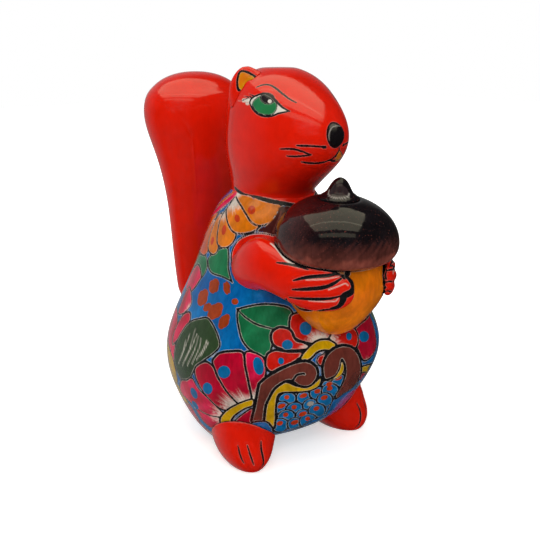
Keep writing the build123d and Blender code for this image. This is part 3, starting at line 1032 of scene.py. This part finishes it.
CRIMSON_FLOWER: tuple[Mark, ...] = (
    Motif(((150, 1085), (104, 1062), (112, 1110), (150, 1160), (220, 1210), (290, 1250), (310, 1200),
           (260, 1150)), Paint.CRIMSON, Paint.PINK, root=(330, 1190), fade=15, weight=0.5),
    Motif(((132, 1000), (104, 1004), (106, 1062), (150, 1110), (230, 1170), (320, 1180), (260, 1110),
           (190, 1040), (160, 990)), Paint.CRIMSON, Paint.PINK, root=(360, 1180), fade=17, weight=0.6),
    Motif(((180, 932), (174, 970), (200, 1034), (244, 1094), (320, 1150), (400, 1120), (340, 1060),
           (290, 990), (266, 934), (226, 908)), Paint.CRIMSON, root=(400, 1150), fade=17, weight=0.7),
    Motif(((428, 862), (470, 862), (514, 886), (530, 930), (524, 990), (500, 1040), (480, 1100),
           (452, 1100), (436, 1010), (426, 930)), Paint.CRIMSON, Paint.PINK, root=(456, 1110), fade=14,
          weight=0.6),
    Motif(((268, 892), (262, 912), (280, 962), (306, 1016), (352, 1080), (400, 1120), (456, 1100),
           (442, 1010), (426, 930), (414, 862), (356, 856), (300, 864)), Paint.CRIMSON, root=(440, 1140),
          fade=17, weight=0.8),
    dot(320, 960, 32, 32),
    dot(238, 1042, 24, 30, lean=-15),
    dot(170, 1066, 14, 30, lean=-25),
    dot(176, 1126, 10, 26, lean=-35),
    dot(492, 930, 26, 46, lean=-12),
    Motif(((462, 1096), (400, 1114), (340, 1146), (306, 1180), (300, 1212), (320, 1244), (352, 1254),
           (352, 1216), (372, 1180), (420, 1146), (466, 1126)), Paint.YELLOW, weight=0.7),
    Motif(((366, 1252), (368, 1216), (400, 1180), (462, 1142), (462, 1190), (452, 1222), (400, 1244)),
          Paint.CRIMSON, weight=0.6),
)

ORANGE_FLOWER: tuple[Mark, ...] = (
    Motif(((900, 690), (940, 720), (985, 760), (985, 830), (930, 860), (840, 830), (800, 760)),
          Paint.FLOWER, root=(830, 830), fade=14),
    dot(945, 782, 14, 20),
    Motif(((668, 668), (648, 700), (650, 748), (676, 790), (730, 812), (800, 820), (850, 780), (860, 700),
           (760, 660)), Paint.FLOWER, root=(800, 815), fade=11),
    Motif(((560, 760), (556, 800), (578, 834), (640, 852), (720, 850), (760, 836), (720, 812), (680, 800),
           (660, 760), (640, 742), (596, 736)), Paint.FLOWER, root=(775, 828), fade=11, weight=0.9),
    Motif(((528, 900), (540, 866), (580, 850), (640, 858), (716, 856), (770, 850), (700, 890), (660, 916),
           (600, 940), (556, 960), (530, 936)), Paint.FLOWER, root=(770, 856), fade=11, weight=0.8),
    dot(728, 742, 30, 34),
    dot(637, 825, 28, 26),
    dot(605, 905, 15, 18),
    Motif(((700, 898), (724, 856), (780, 806), (836, 796), (880, 820), (890, 846), (872, 858), (820, 852),
           (784, 864), (756, 892), (722, 908)), Paint.YELLOW, weight=0.7),
    Motif(((784, 900), (800, 878), (846, 858), (870, 860), (830, 900), (806, 930), (790, 920)),
          Paint.FLOWER, weight=0.5),
)

RIGHT_SIDE: tuple[Mark, ...] = (
    Motif(((1076, 664), (1094, 720), (1096, 780), (1080, 840), (1050, 890), (1016, 902), (990, 850),
           (966, 800), (958, 768), (986, 730), (1036, 688)), Paint.CRIMSON, root=(1020, 940), fade=9,
          weight=0.7),
    dot(1020, 783, 25, 28),
    Motif(((1005, 938), (1030, 926), (1066, 912), (1060, 944), (1036, 966), (1008, 964)), Paint.YELLOW,
          weight=0.7),
    Motif(((1002, 972), (1040, 970), (1030, 1004), (1004, 1030), (980, 1040)), Paint.CRIMSON, weight=0.5),
)


SCALE_FIELD: tuple[Mark, ...] = (
    Motif(((590, 1080), (660, 1066), (740, 1056), (800, 1020), (850, 990), (900, 1000), (900, 1060),
           (870, 1090), (800, 1200), (690, 1240), (570, 1262), (576, 1160)), Paint.AZURE, Paint.BLUE,
          weight=0.6),
)

SCALE_ROWS: tuple[tuple[Point, ...], ...] = (
    ((848, 1030), (890, 1000)),
    ((640, 1096), (716, 1088), (790, 1066), (852, 1052)),
    ((606, 1140), (676, 1146), (752, 1128), (822, 1098)),
    ((634, 1184), (712, 1180), (786, 1152)),
    ((602, 1226), (672, 1222), (744, 1204)),
)
PALE_SCALE = 8


def scale_marks() -> tuple[Mark, ...]:
    """Rows of overlapping fish scales with orange hearts, from the top row down."""
    scales: list[Mark] = []
    hearts: list[Mark] = []
    for number, (x, y) in enumerate(place for row in SCALE_ROWS for place in row):
        sway = 4 * math.sin(number * 2.4)
        outline = oval(x + sway, y, 42 - sway, 34, -12 + sway)
        scales.append(Motif(outline, Paint.DOT, Paint.AZURE, weight=0.6))
        heart = Paint.STONE if number == PALE_SCALE else Paint.AMBER
        hearts.append(dot(x + sway - 2, y - 10, 17 + sway, 11, heart, -20))
    return (*SCALE_FIELD, *scales, *hearts)


SCROLLS: tuple[Mark, ...] = (
    Motif(((806, 984), (796, 1030), (740, 1056), (660, 1062), (606, 1066), (588, 1086), (580, 1140),
           (578, 1200), (570, 1244), (544, 1216), (520, 1196), (524, 1130), (546, 1084), (580, 1040),
           (630, 1010), (690, 1030), (760, 1020)), Paint.YELLOW, weight=0.8),
    Motif(((458, 1206), (474, 1130), (490, 1040), (500, 1014), (540, 980), (600, 946), (660, 918),
           (716, 904), (756, 912), (784, 938), (790, 974), (772, 1012), (738, 1034), (696, 1030),
           (668, 1012), (640, 1004), (604, 1020), (572, 1046), (546, 1090), (528, 1134), (520, 1200),
           (514, 1206), (490, 1206)), Paint.BROWN, weight=1.0),
    Stroke(((640, 1002), (664, 1000), (684, 976), (716, 968), (724, 972)), 0.8),
    Motif(((820, 996), (812, 940), (828, 884), (864, 844), (912, 826), (962, 836), (992, 872), (1006, 924),
           (1000, 984), (968, 1034), (920, 1066), (884, 1092), (876, 1080), (900, 1040), (922, 990),
           (926, 940), (910, 900), (900, 940), (880, 976), (850, 994)), Paint.BROWN, weight=1.0),
    Motif(((826, 1002), (866, 990), (896, 950), (906, 904), (922, 930), (914, 966), (886, 990),
           (852, 1004)), Paint.YELLOW, weight=0.5),
)

BACK: tuple[Mark, ...] = tuple(
    mark
    for turn, height, lean in ((150, 118, 10), (140, 78, -30), (160, 40, 20), (126, 140, 25))
    for mark in (
        Motif(leaf(turn, height, 46, 24, lean), Paint.LEAF, Paint.LEAF_DEEP, weight=0.7),
        Motif(leaf(turn - 17, height - 14, 34, 20, lean + 50), Paint.CRIMSON, Paint.PINK, weight=0.7),
    )
)

FACE: tuple[Mark, ...] = (
    ScratchAndHighlight(((296, 318), (262, 322), (226, 322)), 1.1),
    ScratchAndHighlight(((276, 340), (262, 352), (250, 346)), 0.6),
    Stroke(((300, 300), (262, 306), (214, 326), (186, 326)), 0.35, 0.6),
    Stroke(((306, 292), (262, 292), (232, 286)), 0.3, 0.6),
    Stroke(((322, 286), (290, 280), (268, 266)), 0.3, 0.6),
    Motif(((278, 336), (300, 302), (344, 280), (400, 268), (448, 288), (490, 330), (536, 376), (590, 408),
           (590, 408), (552, 418), (506, 428), (462, 446), (410, 452), (360, 442), (318, 412), (290, 372)),
          Paint.SLIP, weight=0.55),
    Motif(((314, 322), (300, 362), (330, 412), (380, 436), (432, 440), (472, 424), (494, 384), (488, 342),
           (440, 300), (370, 290)), Paint.IRIS, Paint.LEAF, weight=0.3),
    Motif(oval(420, 308, 58, 44, 12), Paint.PUPIL, Paint.INK, weight=0.25),
    # Painted catchlight: a pale dot in the pupil.
    dot(438, 330, 17, 16, Paint.SLIP),
    Stroke(((278, 336), (300, 302), (344, 280), (400, 268), (448, 288), (490, 330), (536, 376), (594, 410)),
           0.8, 0.5),
    Stroke(((332, 218), (380, 200), (430, 198), (480, 222), (540, 270), (600, 315), (648, 340)), 0.75, 0.4),
    Stroke(((655, 685), (760, 688), (880, 694)), 0.65, 0.2),
    Stroke(((868, 698), (882, 698)), 1.0, 0.0),
    Stroke(((520, 712), (620, 712), (690, 730), (770, 758)), 0.7, 0.4),
    Stroke(((575, 768), (620, 772), (700, 768), (770, 760)), 0.7, 0.4),
    Stroke(((695, 818), (780, 828), (860, 822), (920, 804)), 0.95, 0.4, 0.25, 1.4),
)

MOUTH: tuple[Mark, ...] = (
    Motif(((984, 742), (1004, 730), (1014, 780), (992, 804), (960, 806)), Paint.ORANGE, weight=0.25),
    Stroke(((900, 812), (930, 800), (980, 750), (1000, 700)), 0.9, 0.4, 0.25, 1.4),
)

PAW: tuple[Mark, ...] = (
    Stroke(((920, 446), (938, 462), (942, 482), (962, 510), (968, 534), (958, 560), (924, 580), (914, 606),
            (894, 632), (860, 644)), 2.3, 0.4),
    Stroke(((860, 644), (800, 654), (738, 650), (681, 630), (630, 596)), 1.2, 0.4),
)

FAR_PAW: tuple[Mark, ...] = (
    Stroke(((1132, 420), (1126, 470), (1124, 540), (1118, 606)), 0.8, 0.3),
    Stroke(((1128, 452), (1154, 448), (1182, 444)), 0.7, 0.3, 0.8, 1.6),
    Stroke(((1126, 512), (1154, 508), (1184, 502)), 0.7, 0.3, 0.8, 1.6),
    Stroke(((1122, 562), (1150, 560), (1178, 552)), 0.7, 0.3, 0.8, 1.6),
)

STEM: tuple[Mark, ...] = (
    Motif(((890, 12), (862, 36), (846, 66), (858, 84), (896, 92), (934, 84), (946, 66), (922, 30)),
          Paint.PUPIL, weight=0.0),
    # Painted highlight: a pale stone-grey line round the stem's cut facet.
    ScratchAndHighlight(((846, 50), (842, 68), (856, 84), (896, 92), (936, 84), (946, 68)), 0.35, Paint.STONE),
)


@dataclass
class Body:
    """The egg-shaped body under its painted flowers."""

    cells: int = 127
    centre: tuple[float, float, float] = (0.0, 2.0, 86.0)
    crowd: float = 0.22
    steep: float = 0.93
    neck_seam: float = 186.0
    neck_level: float = 190.0
    vent_level: float = 1.6
    bare_level: float = 1.2
    both_sides: tuple[Mark, ...] = GROUND + BACK + LEFT_SIDE + COLLAR + CRIMSON_FLOWER
    front: tuple[Mark, ...] = RIGHT_SIDE + ORANGE_FLOWER + scale_marks() + SCROLLS

    def build(self, shop: Workshop) -> None:
        """Makes the skin, paints it and places it."""
        skin = CastSkin(Surface("body_shell"), self.centre, self.cells, crowd=self.crowd, steep=self.steep,
                        plugs=(self.neck_level, self.vent_level), rim=self.neck_seam)
        mesh = skin.build("body_skin")
        canvas = Canvas(mesh, Surface("body_shell", "head_shell"), BODY_TRACING, Paint.BLUE)
        self.dress(canvas)
        canvas.save()
        shop.place("painted_body", mesh, PAINTED, "body_shell")

    def dress(self, canvas: Canvas) -> None:
        """Paints the flowers, leaves and scrolls, and leaves the underside bare."""
        canvas.tint(Paint.AZURE, 0.35 + 0.35 * ripple(canvas.points, 26.0, 2.0))
        canvas.draw(self.both_sides, flip=True)
        canvas.draw(self.both_sides + self.front)
        canvas.draw(NECK, flip=True)
        canvas.draw(NECK)
        under = (canvas.points[:, 2] < self.bare_level) & (canvas.normals[:, 2] < -0.5)
        canvas.paint[under] = Paint.CLAY.linear
        canvas.ink[under] = Canvas.FAR


@dataclass
class Head:
    """The head with its painted eyes, brows, whiskers and mouth."""

    cells: int = 112
    centre: tuple[float, float, float] = (0.0, -12.0, 224.0)
    crowd: float = 0.1
    neck_seam: float = 186.0
    neck_level: float = 181.0
    nose_line: float = 0.9

    def build(self, shop: Workshop) -> None:
        """Makes the skin, paints it and places it."""
        surface = Surface("head_shell", "left_ear", "right_ear")
        skin = CastSkin(surface, self.centre, self.cells, crowd=self.crowd, rounds=20,
                        plugs=(self.neck_level,), rim=self.neck_seam)
        mesh = skin.build("head_skin")
        canvas = Canvas(mesh, surface, HEAD_TRACING, Paint.RED)
        canvas.draw(FACE, flip=True)
        canvas.draw(FACE + MOUTH)
        canvas.seam(Surface("nose"), self.nose_line)
        canvas.tracing = BODY_TRACING
        canvas.surface = Surface("body_shell", "head_shell")
        canvas.draw(NECK[-1:], flip=True)
        canvas.draw(NECK[-1:])
        canvas.save()
        shop.place("painted_head", mesh, RED, "head_shell")


@dataclass
class Tail:
    """The tall, club-shaped tail."""

    cells: int = 90
    centre: tuple[float, float, float] = (0.0, 96.0, 140.0)
    half_height: float = 96.0
    crown_level: float = 231.0
    crown_rise: float = 33.2
    crown_lean: float = 0.14
    crown_power: float = 2.2
    spine_steps: int = 20

    def build(self, shop: Workshop) -> None:
        """Makes the skin and places it."""
        surface = Surface("tail_shell")
        levels, middles = self.spine(surface)
        skin = CastSkin(surface, self.centre, self.cells, self.half_height, rounds=24,
                        axis=lambda z: np.interp(z, levels, middles))
        mesh = skin.build("tail_skin")
        self.round_crown(mesh, surface)
        Canvas(mesh, surface, BODY_TRACING, Paint.RED).save()
        shop.place("red_tail", mesh, RED, "tail_shell")

    def round_crown(self, mesh: bpy.types.Mesh, surface: Surface) -> None:
        """Rounds the tail above its widest level into a dome.

        Args:
            mesh: The tail's skin.
            surface: The tail's CAD surface, which gives the dome its breadth and depth.
        """
        level = self.crown_level * MM
        front, back = self.depth(surface, level)
        side = surface.cast(Vector((OUTSIDE, (back + front) / 2, level)), Vector((-1, 0, 0))).x
        for vert in mesh.vertices:
            rise = vert.co.z - level
            if rise > 0:
                along = (vert.co.y - (back + front) / 2 - self.crown_lean * rise) / ((back - front) / 2)
                share = min(1.0, math.hypot(vert.co.x / side, along))
                dome = self.crown_rise * MM * (1 - share ** self.crown_power) ** (1 / self.crown_power)
                vert.co.z += (dome - rise) * float(smoothstep(0.97, 0.75, np.array(share)))
        mesh.update()

    def spine(self, surface: Surface) -> tuple[list[float], list[float]]:
        """The tail's middle line.

        Args:
            surface: The tail's CAD surface.

        Returns:
            Heights and the middle's place along Y at each, in mm.
        """
        levels, middles = [], []
        for step in range(self.spine_steps + 1):
            level = self.centre[2] + self.half_height * (2 * step / self.spine_steps - 1)
            found = self.depth(surface, level * MM)
            if found:
                levels.append(level)
                middles.append(sum(found) / 2 / MM)
        return levels, middles

    def depth(self, surface: Surface, level: float) -> Optional[tuple[float, float]]:
        """Where the tail's front and back are at a height, in metres, or None where it has none."""
        front = surface.cast(Vector((0, -OUTSIDE, level)), Vector((0, 1, 0)))
        back = surface.cast(Vector((0, OUTSIDE, level)), Vector((0, -1, 0)))
        return (front.y, back.y) if front and back else None


@dataclass
class Acorn:
    """The acorn in the paws: nut, cap and stem."""

    nut_cells: int = 70
    cap_cells: int = 80
    stem_cells: int = 40
    cap_drop: float = 4.0
    painted_reflection_side: tuple[float, float, float] = (-0.66, 0.42, 0.62)

    def build(self, shop: Workshop) -> None:
        """Makes the three pieces and places them."""
        self.build_nut(shop)
        self.build_cap(shop)
        self.build_stem(shop)

    def middle(self, node: str) -> tuple[float, float, float]:
        """The middle of a CAD node's box, in mm."""
        low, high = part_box(node)
        return tuple((low + high) / 2 / MM)

    def build_nut(self, shop: Workshop) -> None:
        """Makes the orange nut, inked where the cap and paws meet it."""
        surface = Surface("acorn_nut")
        mesh = CastSkin(surface, self.middle("acorn_nut"), self.nut_cells, rounds=10).build("nut_skin")
        canvas = Canvas(mesh, surface, BODY_TRACING, Paint.NUT)
        canvas.tint(Paint.AMBER, 0.175 + 0.175 * ripple(canvas.points, 30.0, 1.0))
        canvas.seam(Surface("acorn_cap"), 0.9)
        canvas.seam(Surface("left_arm", "right_arm"), 0.6)
        canvas.surface = Surface("right_arm", "left_arm", "acorn_nut")
        canvas.draw(PAW + FAR_PAW)
        canvas.save()
        shop.place("acorn_nut_skin", mesh, ORANGE, "acorn_nut")

    def build_cap(self, shop: Workshop) -> None:
        """Makes the dark cap, browner at its lip, with a painted warm reflection in maroon on its side
        facing up and to the left.
        """
        surface = Surface("acorn_cap")
        x, y, z = self.middle("acorn_cap")
        mesh = CastSkin(surface, (x, y, z - self.cap_drop), self.cap_cells, rounds=10).build("cap_skin")
        canvas = Canvas(mesh, surface, BODY_TRACING, Paint.CAP)
        low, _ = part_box("acorn_cap")
        rise = canvas.points[:, 2] - low.z / MM
        burnt = 0.4 * smoothstep(22.0, 9.0, rise + 2.0 * ripple(canvas.points, 5.0, 1.0))
        lip = smoothstep(13.0, 6.0, rise + 1.5 * ripple(canvas.points, 7.0, 3.0))
        canvas.tint(Paint.CAP_BROWN, np.maximum(burnt, lip))
        # Painted reflection: a maroon tint on the side facing up and to the left, set by the normals alone.
        canvas.tint(Paint.MAROON, 0.5 * smoothstep(0.55, 1.0, canvas.normals @ np.array(self.painted_reflection_side)))
        canvas.seam(Surface("acorn_nut", "left_arm", "right_arm"), 0.7)
        canvas.save()
        shop.place("acorn_cap_skin", mesh, BROWN_BLACK, "acorn_cap")

    def build_stem(self, shop: Workshop) -> None:
        """Makes the stub of stem on the cap, with a painted highlight round its cut end."""
        surface = Surface("acorn_stem")
        mesh = CastSkin(surface, self.middle("acorn_stem"), self.stem_cells, rounds=5).build("stem_skin")
        canvas = Canvas(mesh, surface, BODY_TRACING, Paint.CAP)
        canvas.draw(STEM)
        canvas.save()
        shop.place("acorn_stem_skin", mesh, BROWN_BLACK, "acorn_stem")


@dataclass
class Arm:
    """One arm and its paw with four fingers."""

    node: str
    flip: bool
    cell: float = 0.6
    fingers: tuple[Mark, ...] = (
        ScratchAndHighlight(((727, 500), (813, 497), (876, 486), (899, 480)), 0.1),
        ScratchAndHighlight(((842, 550), (899, 529), (926, 518), (942, 528)), 0.12),
        ScratchAndHighlight(((740, 606), (853, 610), (880, 606), (892, 594)), 0.1),
        Stroke(((664, 503), (727, 487), (830, 477), (876, 468), (912, 457)), 1.3, 0.6, 1.1, 2.2),
        Stroke(((658, 551), (738, 547), (824, 537), (876, 514), (920, 482)), 1.3, 0.6, 1.1, 2.2),
        Stroke(((641, 592), (727, 598), (813, 599), (865, 594), (914, 580)), 1.1, 0.6, 1.1, 2.2),
        Motif(((888, 470), (936, 456), (940, 486), (924, 498), (905, 480)), Paint.INK, weight=0.0),
        ScratchAndHighlight(((556, 318), (586, 346), (630, 398), (690, 432)), 0.7),
        Stroke(((583, 413), (640, 420), (700, 434), (740, 448)), 0.9, 0.5),
    )

    def build(self, shop: Workshop) -> None:
        """Makes the arm, cuts and inks its fingers, and places it."""
        mesh = VoxelSkin(self.node, self.cell).build(self.node + "_skin")
        surface = Surface("right_arm", "left_arm")
        canvas = Canvas(mesh, surface, BODY_TRACING, Paint.RED)
        canvas.draw(self.fingers, self.flip)
        canvas.surface = Surface("right_arm", "left_arm", "acorn_nut")
        canvas.draw(FAR_PAW if self.flip else PAW)
        canvas.flare(Surface("body_shell"), 0.8, 3.0)
        canvas.seam(Surface("body_shell"), 0.55)
        canvas.seam(Surface("acorn_nut"), 0.7)
        canvas.seam(Surface("acorn_cap"), 1.1)
        canvas.save()
        shop.place(self.node + "_skin", mesh, RED, self.node)


@dataclass
class Foot:
    """One foot with three toe strokes."""

    node: str
    flip: bool
    cell: float = 0.6
    toes: tuple[Mark, ...] = (
        Stroke(((390, 1332), (400, 1376), (418, 1420)), 0.6, 0.5, 0.7, 1.8),
        Stroke(((436, 1330), (452, 1380), (470, 1430)), 0.6, 0.5, 0.7, 1.8),
        Stroke(((502, 1310), (508, 1360), (512, 1440)), 0.8, 0.5, 0.9, 1.8),
    )

    def build(self, shop: Workshop) -> None:
        """Makes the foot, cuts and inks its toes, and places it."""
        mesh = VoxelSkin(self.node, self.cell).build(self.node + "_skin")
        surface = Surface("right_foot", "left_foot")
        canvas = Canvas(mesh, surface, BODY_TRACING, Paint.RED)
        canvas.draw(self.toes, self.flip)
        canvas.flare(Surface("body_shell"), 4.0, 9.0)
        canvas.seam(Surface("body_shell"), 0.6)
        canvas.save()
        shop.place(self.node + "_skin", mesh, RED, self.node)


@dataclass
class Ear:
    """One ear with its orange hollow."""

    node: str
    flip: bool
    cell: float = 0.4
    hollow: tuple[Mark, ...] = (
        Motif(((184, 236), (176, 180), (190, 110), (216, 88), (262, 98), (316, 132), (286, 164),
               (236, 206)), Paint.ORANGE, Paint.YELLOW, weight=0.7),
    )

    def build(self, shop: Workshop) -> None:
        """Makes the ear, paints its hollow and places it."""
        mesh = VoxelSkin(self.node, self.cell, 8).build(self.node + "_skin")
        canvas = Canvas(mesh, Surface("right_ear", "left_ear"), HEAD_TRACING, Paint.RED)
        canvas.draw(self.hollow, self.flip)
        canvas.flare(Surface("head_shell"), 2.0, 3.0)
        canvas.save()
        shop.place(self.node + "_skin", mesh, RED, self.node)


@dataclass
class Nose:
    """The black nose with a painted highlight along its upper left edge."""

    cell: float = 0.4
    swell: float = 0.6

    def build(self, shop: Workshop) -> None:
        """Makes the nose and places it."""
        mesh = VoxelSkin("nose", self.cell, 8).build("nose_skin")
        canvas = Canvas(mesh, Surface("nose"), HEAD_TRACING, Paint.CAP)
        canvas.rise += self.swell
        # Painted highlight: a thin pale stone-grey arc along the nose's upper left edge.
        ScratchAndHighlight(((916, 640), (918, 580), (942, 540), (1006, 526)), 0.12, Paint.STONE).apply(canvas)
        canvas.save()
        shop.place("nose_skin", mesh, BLACK, "nose")


@dataclass(frozen=True)
class Lamp:
    """One panel of light, in metres and watts.

    Without shine the glaze doesn't mirror it, and without soft it doesn't light the paint.
    """

    name: str
    place: tuple[float, float, float]
    wide: float
    high: float
    power: float
    target: tuple[float, float, float] = (0.0, 0.0, 0.12)
    shine: bool = True
    soft: bool = True
    FILL_TINT: ClassVar[tuple[float, float, float]] = (1.0, 0.985, 0.95)
    SHEEN_TINT: ClassVar[tuple[float, float, float]] = (1.0, 0.93, 0.68)

    def build(self) -> None:
        """Makes the lamp and turns it to its target."""
        data = bpy.data.lights.new(self.name, "AREA")
        data.shape = "RECTANGLE"
        data.size = self.wide
        data.size_y = self.high
        data.energy = self.power
        data.color = self.FILL_TINT if self.soft else self.SHEEN_TINT
        lamp = bpy.data.objects.new(self.name, data)
        lamp.visible_glossy = self.shine
        lamp.visible_diffuse = self.soft
        lamp.location = self.place
        lamp.rotation_mode = "QUATERNION"
        lamp.rotation_quaternion = self.turn()
        bpy.context.scene.collection.objects.link(lamp)

    def turn(self) -> Quaternion:
        """The turn that aims the lamp, with its width across the camera's view or level."""
        aim = (Vector(self.target) - Vector(self.place)).normalized()
        ahead = PhotoCamera().forward
        guide = Vector((ahead.x, ahead.y, 0)) if abs(aim.z) > 0.99 else Vector((0, 0, 1))
        across = aim.cross(guide).normalized()
        return Matrix((across, -aim.cross(across), -aim)).transposed().to_quaternion()


LAMPS: tuple[Lamp, ...] = (
    Lamp("top_fill", (-0.3, -0.25, 1.3), 1.2, 1.2, 8.0, shine=False),
    Lamp("front_fill", (-0.75, -1.1, 1.0), 1.2, 1.0, 12.6, shine=False),
    Lamp("right_fill", (1.1, -0.5, 0.8), 1.0, 1.0, 3.5, shine=False),
    Lamp("left_fill", (-1.0, 0.5, 0.9), 1.0, 1.0, 3.5, shine=False),
    Lamp("back_fill", (0.5, 1.2, 0.8), 1.0, 1.0, 5.0, shine=False),
    Lamp("sheen_panel", (0.02, 0.03, 1.4), 1.7, 1.3, 11.0, (0.02, 0.03, 0.2), soft=False),
    Lamp("sheen_bar", (-0.1, -0.12, 1.38), 1.7, 0.05, 0.55, (-0.1, -0.12, 0.2), soft=False),
    Lamp("sheen_front", (-0.62, -0.78, 1.4), 1.7, 0.3, 1.6, (0.0, 0.0, 0.2), soft=False),
)


@dataclass
class Studio:
    """Pale floor, white surroundings and soft lamps."""

    floor_size: float = 6.0
    mirrored_side: tuple[float, float, float] = (-0.1, 0.99, 0.0)
    mirrored_light: float = 0.42
    room_light: float = 0.14

    def build(self) -> None:
        """Makes the floor, the world and the lamps."""
        bm = bmesh.new()
        bmesh.ops.create_grid(bm, x_segments=8, y_segments=8, size=self.floor_size / 2)
        floor = bpy.data.objects.new("studio_floor", make_skin("studio_floor", bm))
        bpy.context.scene.collection.objects.link(floor)
        floor.data.materials.append(self.floor_material())
        floor.visible_glossy = False
        self.surround()
        for lamp in LAMPS:
            lamp.build()

    def floor_material(self) -> bpy.types.Material:
        """A pale floor that the camera sees as near white, with the object's shadow."""
        material = bpy.data.materials.new("studio_floor")
        bench = NodeBench(material)
        shade = bench.ramp(bench.noise(3.0), 0.3, 0.7, 0.86, 0.9)
        bench.feed(bench.shader.inputs["Base Color"], bench.mix(1.0, WHITE, shade, "MULTIPLY"))
        bench.shader.inputs["Roughness"].default_value = 0.9
        bench.shader.inputs["Emission Color"].default_value = WHITE
        far = bench.add("ShaderNodeVectorMath", operation="LENGTH")
        bench.feed(far.inputs[0], bench.coords["Object"])
        glow = bench.ramp(far.outputs["Value"], 0.1, 0.5, 0.5, 1.0)
        path = bench.add("ShaderNodeLightPath").outputs
        seen = bench.math("MULTIPLY", path["Is Camera Ray"], glow)
        bench.feed(bench.shader.inputs["Emission Strength"], seen)
        return material

    def surround(self) -> None:
        """White to the camera, and dimmer as light."""
        world = bpy.data.worlds.new("studio")
        bench = NodeBench(world)
        bench.shader.inputs["Color"].default_value = WHITE
        away = bench.add("ShaderNodeVectorMath", operation="DOT_PRODUCT")
        bench.feed(away.inputs[0], bench.coords["Generated"])
        away.inputs[1].default_value = self.mirrored_side
        sky = bench.ramp(away.outputs["Value"], 0.25, 0.85, 0.02, self.mirrored_light, soft=False)
        path = bench.add("ShaderNodeLightPath").outputs
        shine = bench.choose(path["Is Glossy Ray"], self.room_light, sky)
        bench.feed(bench.shader.inputs["Strength"], bench.choose(path["Is Camera Ray"], shine, 1.0))
        bpy.context.scene.world = world


def main() -> None:
    """Builds the squirrel, its studio and the camera."""
    logging.basicConfig(level=logging.INFO, format="%(name)s %(message)s")
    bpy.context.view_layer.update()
    bpy.context.scene.view_settings.view_transform = "Standard"
    PhotoCamera().build()
    Studio().build()
    shop = Workshop()
    Body().build(shop)
    Head().build(shop)
    Tail().build(shop)
    Acorn().build(shop)
    for side, flip in (("right", False), ("left", True)):
        Arm(side + "_arm", flip).build(shop)
        Foot(side + "_foot", flip).build(shop)
        Ear(side + "_ear", flip).build(shop)
    Nose().build(shop)


if __name__ == "__main__":
    main()
